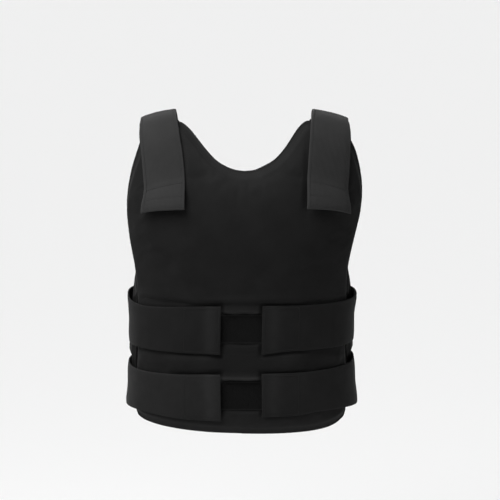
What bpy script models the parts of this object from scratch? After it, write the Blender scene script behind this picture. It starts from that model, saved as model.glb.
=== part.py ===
"""Soft body-armour vest in its worn form: two padded panels, joined over the shoulders and round the waist.

Blender 4.5, in metres, +Z up. The wearer faces -Y, so +X is the wearer's left. The origin is midway
between the shoulders, level with the shoulder tops that the straps rest on.

Every piece is laid on one torso form. A place on it is given as a tailor gives it: the reach, measured
round the body from the centre line, and the height. A lift is the distance from the body to the piece.
"""

from collections import namedtuple

import bmesh
import bpy
import numpy as np
from mathutils import Vector

# The body inside the vest: level sections, which are superellipses, and how far each leans to the left.
Section = namedtuple("Section", "height half_width front_depth back_depth lean")
TORSO = (
    Section(-0.560, 0.182, 0.112, 0.104, -0.0030),
    Section(-0.513, 0.181, 0.112, 0.104, -0.0030),
    Section(-0.490, 0.179, 0.112, 0.104, -0.0030),
    Section(-0.450, 0.177, 0.111, 0.102, -0.0035),
    Section(-0.400, 0.175, 0.109, 0.099, -0.0040),
    Section(-0.350, 0.174, 0.107, 0.097, -0.0035),
    Section(-0.300, 0.175, 0.108, 0.098, -0.0025),
    Section(-0.250, 0.182, 0.111, 0.101, -0.0030),
    Section(-0.200, 0.191, 0.114, 0.104, -0.0020),
    Section(-0.150, 0.197, 0.110, 0.103, 0.0010),
    Section(-0.100, 0.200, 0.098, 0.096, 0.0025),
    Section(-0.050, 0.198, 0.078, 0.079, 0.0020),
    Section(-0.030, 0.186, 0.064, 0.066, 0.0010),
    Section(-0.022, 0.172, 0.055, 0.057, 0.0005),
    Section(-0.014, 0.149, 0.044, 0.046, 0.0000),
    Section(-0.006, 0.114, 0.031, 0.033, 0.0000),
    Section(0.010, 0.070, 0.014, 0.016, 0.0000),
)
SECTION_POWER = 2.6
SECTION_STEPS = 481
# The heights between which the line along a shoulder's top runs.
SHOULDER_LINE = (-0.050, 0.010)

# The padded panels: full thickness inside, thinning to the sewn flange along the edge.
PAD_THICKNESS = 0.0095
FLANGE_THICKNESS = 0.0033
FLANGE_WIDTH = 0.014
EDGE_STEPS = (0.0, 0.006, 0.014)
EDGE_SAMPLES = 8
PANEL_COLUMNS = 46
PANEL_ROWS = 16

# A panel's top and hem, from the centre line outwards on each side of the wearer.
Edge = namedtuple("Edge", "reach right left")
# A panel's side edge, downwards from the armhole: its reach on each side of the wearer.
SideEdge = namedtuple("SideEdge", "height right left")
FRONT_TOP = (
    Edge(0.000, -0.0840, -0.0840),
    Edge(0.016, -0.0820, -0.0820),
    Edge(0.031, -0.0765, -0.0755),
    Edge(0.046, -0.0675, -0.0675),
    Edge(0.063, -0.0505, -0.0515),
    Edge(0.077, -0.0335, -0.0340),
    Edge(0.088, -0.0220, -0.0215),
    Edge(0.098, -0.0150, -0.0140),
    Edge(0.130, -0.0170, -0.0170),
    Edge(0.155, -0.0215, -0.0215),
    Edge(0.168, -0.0280, -0.0260),
    Edge(0.176, -0.0480, -0.0380),
    Edge(0.184, -0.0660, -0.0520),
    Edge(0.192, -0.0830, -0.0720),
    Edge(0.200, -0.1020, -0.0920),
    Edge(0.207, -0.1210, -0.1130),
    Edge(0.212, -0.1400, -0.1350),
)
FRONT_SIDE = (
    SideEdge(-0.135, 0.212, 0.212),
    SideEdge(-0.165, 0.214, 0.212),
    SideEdge(-0.185, 0.210, 0.208),
    SideEdge(-0.205, 0.206, 0.203),
    SideEdge(-0.225, 0.201, 0.198),
    SideEdge(-0.250, 0.196, 0.194),
    SideEdge(-0.300, 0.196, 0.196),
    SideEdge(-0.400, 0.195, 0.195),
    SideEdge(-0.470, 0.203, 0.198),
    SideEdge(-0.520, 0.207, 0.200),
)
FRONT_HEM = (
    Edge(0.000, -0.5180, -0.5185),
    Edge(0.050, -0.5165, -0.5190),
    Edge(0.090, -0.5140, -0.5185),
    Edge(0.126, -0.5110, -0.5170),
    Edge(0.155, -0.5080, -0.5135),
    Edge(0.177, -0.5050, -0.5070),
    Edge(0.190, -0.5010, -0.5000),
    Edge(0.198, -0.4920, -0.4860),
    Edge(0.202, -0.4760, -0.4680),
)
# The back panel is cut deeper at the neck, and its lower half reaches round to the wearer's sides.
BACK_TOP = (
    Edge(0.000, -0.118, -0.118),
    Edge(0.030, -0.114, -0.114),
    Edge(0.054, -0.102, -0.102),
    Edge(0.074, -0.084, -0.084),
    Edge(0.090, -0.063, -0.063),
    Edge(0.101, -0.042, -0.042),
    Edge(0.110, -0.022, -0.022),
    Edge(0.118, -0.017, -0.017),
    Edge(0.140, -0.019, -0.019),
    Edge(0.158, -0.024, -0.024),
    Edge(0.167, -0.034, -0.034),
    Edge(0.174, -0.066, -0.066),
    Edge(0.180, -0.115, -0.115),
    Edge(0.185, -0.170, -0.170),
    Edge(0.191, -0.220, -0.220),
    Edge(0.200, -0.257, -0.257),
    Edge(0.213, -0.281, -0.281),
    Edge(0.230, -0.295, -0.295),
    Edge(0.248, -0.300, -0.300),
)
BACK_SIDE = (
    SideEdge(-0.300, 0.248, 0.248),
    SideEdge(-0.480, 0.248, 0.248),
)
BACK_HEM = (
    Edge(0.000, -0.513, -0.513),
    Edge(0.100, -0.512, -0.512),
    Edge(0.150, -0.511, -0.508),
    Edge(0.195, -0.508, -0.501),
    Edge(0.225, -0.502, -0.492),
    Edge(0.240, -0.493, -0.482),
    Edge(0.248, -0.476, -0.466),
)

# The gap left between two pieces that lie on each other.
CONTACT_GAP = 0.0003

# Loop pile, sewn across the front under the ends of the waist straps.
LOOP_THICKNESS = 0.0012
LOOP_HALF_LENGTH = 0.095
LOOP_COLUMNS = 24
LOOP_ROWS = 2
LoopField = namedtuple("LoopField", "name bottom top")
LOOP_FIELDS = (
    LoopField("loop_field_upper", -0.366, -0.316),
    LoopField("loop_field_lower", -0.477, -0.428),
)

# Elastic waist straps, two on each side, sewn to the back panel and closed on the loop fields.
WAIST_STRAP_THICKNESS = 0.0025
WAIST_FRONT_END = 0.033
WAIST_BACK_END = 0.060
WAIST_COLUMNS = 44
# A waist strap's edges by the reach from the front centre line, as it settled on the wearer.
StrapEdge = namedtuple("StrapEdge", "reach bottom top")
UPPER_RIGHT_EDGES = (
    StrapEdge(0.033, -0.3830, -0.2980),
    StrapEdge(0.090, -0.3830, -0.3015),
    StrapEdge(0.125, -0.3830, -0.3045),
    StrapEdge(0.165, -0.3835, -0.3080),
    StrapEdge(0.195, -0.3845, -0.3070),
    StrapEdge(0.240, -0.3850, -0.3015),
    StrapEdge(0.290, -0.3840, -0.3010),
)
UPPER_LEFT_EDGES = (
    StrapEdge(0.033, -0.3840, -0.2980),
    StrapEdge(0.070, -0.3800, -0.2985),
    StrapEdge(0.105, -0.3790, -0.2995),
    StrapEdge(0.165, -0.3800, -0.3010),
    StrapEdge(0.240, -0.3830, -0.3010),
)
LOWER_RIGHT_EDGES = (
    StrapEdge(0.033, -0.4935, -0.4130),
    StrapEdge(0.090, -0.4935, -0.4155),
    StrapEdge(0.130, -0.4910, -0.4170),
    StrapEdge(0.165, -0.4895, -0.4195),
    StrapEdge(0.240, -0.4940, -0.4200),
)
LOWER_LEFT_EDGES = (
    StrapEdge(0.033, -0.4875, -0.4130),
    StrapEdge(0.090, -0.4870, -0.4130),
    StrapEdge(0.125, -0.4835, -0.4130),
    StrapEdge(0.165, -0.4850, -0.4130),
    StrapEdge(0.240, -0.4935, -0.4120),
)
WaistStrap = namedtuple("WaistStrap", "name side edges flare_bottom flare_top")
WAIST_STRAPS = (
    WaistStrap("waist_strap_upper_right", "right", UPPER_RIGHT_EDGES, 0.001, 0.004),
    WaistStrap("waist_strap_upper_left", "left", UPPER_LEFT_EDGES, 0.001, 0.004),
    WaistStrap("waist_strap_lower_right", "right", LOWER_RIGHT_EDGES, 0.003, 0.001),
    WaistStrap("waist_strap_lower_left", "left", LOWER_LEFT_EDGES, 0.003, 0.001),
)
STRAP_ROW_SHARES = (0.0, 0.2, 0.8, 1.0)
OVER_PANEL_LIFT = PAD_THICKNESS + 3 * CONTACT_GAP
OVER_LOOP_LIFT = PAD_THICKNESS + LOOP_THICKNESS + 2 * CONTACT_GAP
# Reaches between which a waist strap steps down from the loop field, and its edges begin to flare.
LOOP_STEP = (LOOP_HALF_LENGTH + 0.004, LOOP_HALF_LENGTH + 0.024)
FLARE_START = (0.140, 0.225)

# Shoulder straps, sewn to the back panel and closed on the front one.
SHOULDER_THICKNESS = 0.0048
SHOULDER_COLUMNS = 5
SHOULDER_ROWS = 36
REST_LIFT = 0.0050
REST_HALF_LENGTH = 0.006
TAB_REACH = 0.048
FREE_END_LENGTH = 0.042
FREE_END_LIFT = 0.0080
# How much shorter the outer side of the free end is than the inner, for each metre of width, and how
# far back from the end that slant goes.
END_SLANT = 0.22
SLANT_LENGTH = 0.060
SHOULDER_DROP = 0.250
SHOULDER_STEPS = 400
# Distance along the strap from the shoulder top, towards the back, the strap's middle there on each
# side of the wearer, and its width.
StrapPlace = namedtuple("StrapPlace", "along right left width")
SHOULDER_PATH = (
    StrapPlace(-0.186, 0.122, 0.127, 0.0625),
    StrapPlace(-0.110, 0.129, 0.132, 0.0620),
    StrapPlace(-0.050, 0.136, 0.138, 0.0600),
    StrapPlace(0.000, 0.139, 0.141, 0.0570),
    StrapPlace(0.060, 0.139, 0.140, 0.0580),
    StrapPlace(0.170, 0.132, 0.132, 0.0600),
)
FRONT_END_ALONG = {"right": -0.183, "left": -0.180}
BACK_END_ALONG = 0.150

# Principled colours (linear) and roughness.
Cloth = namedtuple("Cloth", "name colour roughness")
PANEL_CLOTH = Cloth("carrier_cloth", (0.012, 0.012, 0.013), 0.85)
STRAP_ELASTIC = Cloth("strap_elastic", (0.016, 0.016, 0.017), 0.75)
LOOP_PILE = Cloth("loop_pile", (0.006, 0.006, 0.006), 0.95)

SHARP_EDGE = np.radians(40)
SMALL_STEP = 0.0005
BODY_MIDDLE_DROP = 0.120
SIDES = {"right": -1, "left": 1}


def smooth_column(rows, column):
    """A smooth function through a table: a row's first field is the place, its named one the value."""
    order = sorted(rows)
    places = np.array([row[0] for row in order])
    values = np.array([getattr(row, column) for row in order])
    slopes = np.gradient(values, places)

    def value_at(place):
        place = np.clip(place, places[0], places[-1])
        left = np.clip(np.searchsorted(places, place, side="right") - 1, 0, len(places) - 2)
        step = places[left + 1] - places[left]
        t = (place - places[left]) / step
        near = (1 + 2 * t) * (1 - t) ** 2 * values[left] + t * (1 - t) ** 2 * step * slopes[left]
        far = t * t * (3 - 2 * t) * values[left + 1] + t * t * (t - 1) * step * slopes[left + 1]
        return near + far

    return value_at


half_width_at = smooth_column(TORSO, "half_width")
front_depth_at = smooth_column(TORSO, "front_depth")
back_depth_at = smooth_column(TORSO, "back_depth")
lean_at = smooth_column(TORSO, "lean")


def smooth_step(value, start, end):
    """0 before start, 1 past end, and smooth in between."""
    t = np.clip((value - start) / (end - start), 0.0, 1.0)
    return t * t * (3 - 2 * t)


def half_sections(heights):
    """For each height, the section from the front centre round to the back: lengths along it, x and y."""
    angle = np.linspace(0.0, np.pi, SECTION_STEPS)[None, :]
    power = 2 / SECTION_POWER
    front = front_depth_at(heights)[:, None]
    back = back_depth_at(heights)[:, None]
    x = half_width_at(heights)[:, None] * np.abs(np.sin(angle)) ** power
    y = np.where(angle < np.pi / 2, -front, back) * np.abs(np.cos(angle)) ** power
    steps = np.hypot(np.diff(x, axis=1), np.diff(y, axis=1))
    lengths = np.concatenate([np.zeros((len(heights), 1)), np.cumsum(steps, axis=1)], axis=1)
    return lengths, x, y


def half_girth(heights):
    """Length round the body from the front centre to the back centre."""
    return half_sections(heights)[0][:, -1]


def front_points(reach, height):
    """Points of the body at a reach from the front centre line, positive to the wearer's left."""
    lengths, x, y = half_sections(height)
    points = np.empty((len(reach), 3))
    for i, distance in enumerate(reach):
        points[i, 0] = np.interp(abs(distance), lengths[i], x[i]) * (1 if distance >= 0 else -1)
        points[i, 1] = np.interp(abs(distance), lengths[i], y[i])
    points[:, 0] += lean_at(height)
    points[:, 2] = height
    return points


def back_points(reach, height):
    """Points of the body at a reach from the back centre line, positive to the wearer's left."""
    side = np.where(reach >= 0, 1.0, -1.0)
    return front_points(side * (half_girth(height) - np.abs(reach)), height)


def shoulder_points(across, along):
    """Points of the body over a shoulder, along from its top, positive towards the back."""
    crest_heights = np.linspace(*SHOULDER_LINE, SHOULDER_STEPS)
    crest_widths = half_width_at(crest_heights)
    drop = SHOULDER_DROP * np.linspace(0.0, 1.0, SHOULDER_STEPS) ** 3
    points = np.empty((len(across), 3))
    for i, (x, distance) in enumerate(zip(across, along)):
        crest = np.interp(-abs(x), -crest_widths, crest_heights)
        heights = crest - drop
        share = np.clip(1 - (abs(x) / half_width_at(heights)) ** SECTION_POWER, 0.0, 1.0)
        share[0] = 0.0
        depth = front_depth_at(heights) if distance < 0 else back_depth_at(heights)
        y = depth * share ** (1 / SECTION_POWER)
        lengths = np.concatenate([[0.0], np.cumsum(np.hypot(np.diff(y), np.diff(heights)))])
        points[i, 0] = x
        points[i, 1] = np.interp(abs(distance), lengths, y) * (-1 if distance < 0 else 1)
        points[i, 2] = np.interp(abs(distance), lengths, heights)
    points[:, 0] += lean_at(points[:, 2])
    return points


def body_middle(point):
    """A place inside the body, behind and below a point of its surface."""
    return np.array([0.0, 0.0, point[2] - BODY_MIDDLE_DROP])


def lifted(points_at, first, second, lift):
    """The points of points_at(first, second), moved straight out from the body by lift."""
    along_first = points_at(first + SMALL_STEP, second) - points_at(first - SMALL_STEP, second)
    along_second = points_at(first, second + SMALL_STEP) - points_at(first, second - SMALL_STEP)
    outwards = np.cross(along_first, along_second)
    outwards /= np.linalg.norm(outwards, axis=1)[:, None]
    points = points_at(first, second)
    for point, direction in zip(points, outwards):
        if direction @ (point - body_middle(point)) < 0:
            direction *= -1
    return points + outwards * np.broadcast_to(lift, first.shape)[:, None]


def grid_surface(name, columns, rows, points_of):
    """A grid primitive moved to the points of a surface, with the column and row of each of its corners."""
    grid = bmesh.new()
    bmesh.ops.create_grid(grid, x_segments=columns, y_segments=rows, size=0.5)
    corners = np.array([vertex.co for vertex in grid.verts])
    across = np.rint((corners[:, 0] + 0.5) * columns).astype(int)
    up = np.rint((corners[:, 1] + 0.5) * rows).astype(int)
    for vertex, point in zip(grid.verts, points_of(across, up)):
        vertex.co = point
    grid.normal_update()
    middles = [face.calc_center_median() for face in grid.faces]
    outwards = sum(
        face.normal.dot(middle - Vector(body_middle(middle))) for face, middle in zip(grid.faces, middles)
    )
    if outwards < 0:
        bmesh.ops.reverse_faces(grid, faces=grid.faces)
    mesh = bpy.data.meshes.new(name)
    grid.to_mesh(mesh)
    grid.free()
    return bpy.data.objects.new(name, mesh), across, up


def spaced(count, length):
    """Places of count cells along a length, with the flange's narrow cells at both ends."""
    edge = np.array(EDGE_STEPS)
    inner = np.linspace(edge[-1], length - edge[-1], count - 2 * len(edge) + 3)
    return np.concatenate([edge[:-1], inner, length - edge[-2::-1]])


def cloth_material(cloth):
    """A Principled material for a cloth."""
    material = bpy.data.materials.get(cloth.name) or bpy.data.materials.new(cloth.name)
    material.use_nodes = True
    shader = material.node_tree.nodes["Principled BSDF"]
    shader.inputs["Base Color"].default_value = (*cloth.colour, 1.0)
    shader.inputs["Roughness"].default_value = cloth.roughness
    shader.inputs["Metallic"].default_value = 0.0
    return material


def thicken(surface, thickness, cloth, collection):
    """Gives an open surface its thickness, away from the body, its cloth and its place in the scene."""
    wall = surface.modifiers.new("thickness", "SOLIDIFY")
    wall.thickness = thickness
    wall.offset = 1.0
    surface.data.materials.append(cloth_material(cloth))
    surface.data.shade_smooth()
    surface.data.set_sharp_from_angle(angle=SHARP_EDGE)
    collection.objects.link(surface)
    return wall


def by_side(rows, place, share):
    """A value of an outline at a place, on the wearer's right where the share is negative."""
    right = smooth_column(rows, "right")(place)
    left = smooth_column(rows, "left")(place)
    return np.where(share < 0, right, left)


def finer(edge, steps):
    """The points of a closed line with more points on each of its stretches."""
    shares = np.linspace(0.0, 1.0, steps, endpoint=False)[None, :, None]
    return (edge[:, None] + (np.roll(edge, -1, axis=0) - edge)[:, None] * shares).reshape(-1, 2)


def panel(name, points_at, top, side, hem, collection):
    """A padded panel inside its top, side and hem outlines, thinned to a flange along all its edges."""
    shares = spaced(PANEL_COLUMNS, 2 * top[-1].reach) / top[-1].reach - 1
    tops = by_side(top, np.abs(shares) * top[-1].reach, shares)
    hems = by_side(hem, np.abs(shares) * hem[-1].reach, shares)
    heights = np.array([low + spaced(PANEL_ROWS, high - low) for low, high in zip(hems, tops)])
    reaches = shares[:, None] * by_side(side, heights, shares[:, None])
    places = np.stack([reaches, heights], axis=2)
    border = np.concatenate([places[:, 0], places[-1, 1:], places[-2::-1, -1], places[0, -2:0:-1]])
    edge = finer(border, EDGE_SAMPLES)
    distances = np.min(np.linalg.norm(places[:, :, None] - edge, axis=3), axis=2)

    def panel_points(across, up):
        return lifted(points_at, reaches[across, up], heights[across, up], 0.0)

    surface, across, up = grid_surface(name, PANEL_COLUMNS, PANEL_ROWS, panel_points)
    padding = surface.vertex_groups.new(name="padding")
    for index, distance in enumerate(distances[across, up]):
        padding.add([index], smooth_step(distance, 0.0, FLANGE_WIDTH), "REPLACE")
    wall = thicken(surface, PAD_THICKNESS, PANEL_CLOTH, collection)
    wall.vertex_group = padding.name
    wall.thickness_vertex_group = FLANGE_THICKNESS / PAD_THICKNESS


def loop_field(field, collection):
    """A strip of loop pile across the front panel."""
    reaches = np.linspace(-LOOP_HALF_LENGTH, LOOP_HALF_LENGTH, LOOP_COLUMNS + 1)
    heights = np.linspace(field.bottom, field.top, LOOP_ROWS + 1)

    def field_points(across, up):
        return lifted(front_points, reaches[across], heights[up], PAD_THICKNESS + CONTACT_GAP)

    surface, _, _ = grid_surface(field.name, LOOP_COLUMNS, LOOP_ROWS, field_points)
    thicken(surface, LOOP_THICKNESS, LOOP_PILE, collection)


def waist_lift(reach, height, up, strap):
    """Lift of a waist strap: over the loop field, over the panels, and its edges' flare at the side."""
    back_reach = half_girth(height) - reach
    on_loops = 1 - smooth_step(reach, *LOOP_STEP)
    flare = strap.flare_top * smooth_step(up, 0.5, 1.0) + strap.flare_bottom * smooth_step(-up, -0.5, 0.0)
    at_side = smooth_step(reach, *FLARE_START) * smooth_step(back_reach, *FLARE_START)
    return OVER_PANEL_LIFT + (OVER_LOOP_LIFT - OVER_PANEL_LIFT) * on_loops + flare * at_side


def waist_strap(strap, collection):
    """An elastic strap round one side of the waist."""
    side = SIDES[strap.side]
    bottom_at = smooth_column(strap.edges, "bottom")
    top_at = smooth_column(strap.edges, "top")
    shares = np.array(STRAP_ROW_SHARES)
    waist = np.full(1, (bottom_at(WAIST_BACK_END) + top_at(WAIST_BACK_END)) / 2)
    reaches = np.linspace(WAIST_FRONT_END, half_girth(waist)[0] - WAIST_BACK_END, WAIST_COLUMNS + 1)

    def strap_points(across, up):
        reach, share = reaches[across], shares[up]
        height = bottom_at(reach) * (1 - share) + top_at(reach) * share
        return lifted(front_points, side * reach, height, waist_lift(reach, height, share, strap))

    surface, _, _ = grid_surface(strap.name, WAIST_COLUMNS, len(STRAP_ROW_SHARES) - 1, strap_points)
    thicken(surface, WAIST_STRAP_THICKNESS, STRAP_ELASTIC, collection)


def shoulder_lift(along, front_end):
    """Lift of a shoulder strap: on the shoulder, up over the panels' tabs, and off at its free end."""
    on_tab = smooth_step(np.abs(along), REST_HALF_LENGTH, TAB_REACH)
    free = smooth_step(front_end + FREE_END_LENGTH - along, 0.0, FREE_END_LENGTH)
    return REST_LIFT + (OVER_PANEL_LIFT - REST_LIFT) * on_tab + FREE_END_LIFT * free


def shoulder_strap(side_name, collection):
    """A strap over one shoulder, from its sewn end at the back to its free end on the chest."""
    side = SIDES[side_name]
    front_end = FRONT_END_ALONG[side_name]
    middle_at = smooth_column(SHOULDER_PATH, side_name)
    width_at = smooth_column(SHOULDER_PATH, "width")
    lengths = np.linspace(front_end, BACK_END_ALONG, SHOULDER_ROWS + 1)

    def strap_points(across, up):
        along = lengths[up]
        outwards = (across / SHOULDER_COLUMNS - 0.5) * width_at(along)
        near_end = 1 - smooth_step(along, front_end, front_end + SLANT_LENGTH)
        slanted = along + END_SLANT * outwards * near_end
        lift = shoulder_lift(along, front_end)
        return lifted(shoulder_points, side * (middle_at(along) + outwards), slanted, lift)

    name = f"shoulder_strap_{side_name}"
    surface, _, _ = grid_surface(name, SHOULDER_COLUMNS, SHOULDER_ROWS, strap_points)
    thicken(surface, SHOULDER_THICKNESS, STRAP_ELASTIC, collection)


def build():
    """Clears the scene and builds every piece of the vest."""
    for old in list(bpy.data.objects):
        bpy.data.objects.remove(old)
    vest = bpy.data.collections.new("vest")
    bpy.context.scene.collection.children.link(vest)
    panel("front_panel", front_points, FRONT_TOP, FRONT_SIDE, FRONT_HEM, vest)
    panel("back_panel", back_points, BACK_TOP, BACK_SIDE, BACK_HEM, vest)
    for field in LOOP_FIELDS:
        loop_field(field, vest)
    for side_name in SIDES:
        shoulder_strap(side_name, vest)
    for strap in WAIST_STRAPS:
        waist_strap(strap, vest)


build()
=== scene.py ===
"""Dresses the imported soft-armour vest: woven carriers, ribbed elastic straps, loop pile and thread.

Metres, +Z up, the wearer facing -Y and +X to the wearer's left. A place on the body is given as a
tailor gives it: the reach, measured round the body from the front or back centre line, and the height.
Every cloth lies on one torso form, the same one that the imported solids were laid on.
"""

import logging
import math
from dataclasses import dataclass, field
from enum import Enum
from typing import Any, Callable, NamedTuple, Optional

import bpy
import numpy as np
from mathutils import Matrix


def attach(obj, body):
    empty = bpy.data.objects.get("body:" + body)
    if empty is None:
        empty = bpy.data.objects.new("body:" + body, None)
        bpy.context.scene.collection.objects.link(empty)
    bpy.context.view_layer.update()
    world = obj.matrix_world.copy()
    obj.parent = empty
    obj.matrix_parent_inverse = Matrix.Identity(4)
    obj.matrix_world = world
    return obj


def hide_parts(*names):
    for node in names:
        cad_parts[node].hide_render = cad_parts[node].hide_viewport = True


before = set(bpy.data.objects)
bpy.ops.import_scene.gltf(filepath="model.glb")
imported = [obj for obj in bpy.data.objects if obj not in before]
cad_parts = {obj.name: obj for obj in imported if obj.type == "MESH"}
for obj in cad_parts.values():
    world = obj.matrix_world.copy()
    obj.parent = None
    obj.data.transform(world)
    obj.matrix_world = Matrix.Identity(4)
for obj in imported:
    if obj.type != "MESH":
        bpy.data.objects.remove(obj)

Array = np.ndarray
SurfaceMap = Callable[[Array, Array], Array]

log = logging.getLogger("vest")

BODY = "root"

MATH = "ShaderNodeMath"
NOISE = "ShaderNodeTexNoise"
TIMES = {"operation": "MULTIPLY"}
PLUS = {"operation": "ADD"}
ROUGH = {"Roughness": 0.55}

# Lines that stitches follow are drawn with points this far apart.
SEWN_STEP = 0.002
# The rounded edge of a wall has points at these shares of its thickness.
EDGE_SHARES = (0.0, 0.06, 0.2, 0.5)
# Distances are worked out for so many points at a time, which keeps the arrays small.
POINTS_AT_ONCE = 2000
SMALLEST_SQUARE = 1e-12
# A place read between two entries of a table stays this far from the table's end, in entries.
FROM_TABLE_END = 1.001
# Cloth is held down fully under a strap and this far past its edge.
HELD_PAST_EDGE = 0.001


class Side(Enum):
    """The wearer's side that a piece is on; its value is the sign of X there."""

    RIGHT = -1
    LEFT = 1

    @property
    def label(self) -> str:
        """The side's name, as the nodes end in it."""
        return self.name.lower()


class Section(NamedTuple):
    """A level section through the body: its height, its half sizes and its lean to the wearer's left."""

    height: float
    half_width: float
    front_depth: float
    back_depth: float
    lean: float


class Edge(NamedTuple):
    """A point of a panel's top or hem: its reach from the centre line and its height on each side."""

    reach: float
    right: float
    left: float


class SideEdge(NamedTuple):
    """A point of a panel's side edge: its height and its reach on each side."""

    height: float
    right: float
    left: float


class StrapPlace(NamedTuple):
    """The middle and width of a shoulder strap at a length from the shoulder top, positive backwards."""

    along: float
    right: float
    left: float
    width: float


class StrapEdge(NamedTuple):
    """The edges of a waist strap at a reach from the front centre line."""

    reach: float
    bottom: float
    top: float


def hermite(places: Array, values: Array, at: Array) -> Array:
    """Reads a smooth curve through given values.

    Args:
        places: Where the values are, ascending.
        values: One value, or one row of values, for each place.
        at: The places to read.

    Returns:
        The values there, held at the ends.
    """
    slopes = np.gradient(values, places, axis=0)
    at = np.clip(at, places[0], places[-1])
    left = np.clip(np.searchsorted(places, at, side="right") - 1, 0, len(places) - 2)
    step = places[left + 1] - places[left]
    share = (at - places[left]) / step
    if values.ndim > 1:
        step = step[:, None]
        share = share[:, None]
    near = (1 + 2 * share) * (1 - share) ** 2 * values[left] + share * (1 - share) ** 2 * step * slopes[left]
    far = share**2 * (3 - 2 * share) * values[left + 1] + share**2 * (share - 1) * step * slopes[left + 1]
    return near + far


def column(rows: tuple, name: str, at: Array) -> Array:
    """Reads one named column of a table smoothly.

    Args:
        rows: The table; a row's first field is its place.
        name: The column's name.
        at: The places to read.

    Returns:
        The column's values there.
    """
    order = sorted(rows)
    places = np.array([row[0] for row in order])
    values = np.array([getattr(row, name) for row in order])
    return hermite(places, values, np.asarray(at, float))


def smooth_step(value: Array, start: float, end: float) -> Array:
    """0 before start, 1 past end, and smooth in between."""
    share = np.clip((value - start) / (end - start), 0.0, 1.0)
    return share * share * (3 - 2 * share)


def ridge(value: Array, middle: float, width: float) -> Array:
    """A smooth ridge of height 1 at the middle, gone about two widths away."""
    return np.exp(-(((value - middle) / width) ** 2))


def rounded(distance: Array, radius: float) -> Array:
    """How full a round edge is at a distance inside it: 0 at the edge, 1 from the radius on."""
    inside = np.clip(1 - distance / radius, 0.0, 1.0)
    return np.sqrt(1 - inside * inside)


def even_noise(shape: tuple[int, int], cells: tuple[int, int], seed: int) -> Array:
    """Smooth seeded noise over a grid.

    Args:
        shape: Rows and columns of the grid.
        cells: How many rows and columns of random values it is drawn through.
        seed: The seed of the random values.

    Returns:
        Values mostly between -1 and 1.
    """
    values = np.random.default_rng(seed).uniform(-1, 1, (cells[0] + 1, cells[1] + 1))
    rows = hermite(np.linspace(0, 1, cells[0] + 1), values, np.linspace(0, 1, shape[0]))
    return hermite(np.linspace(0, 1, cells[1] + 1), rows.T, np.linspace(0, 1, shape[1])).T


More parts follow.
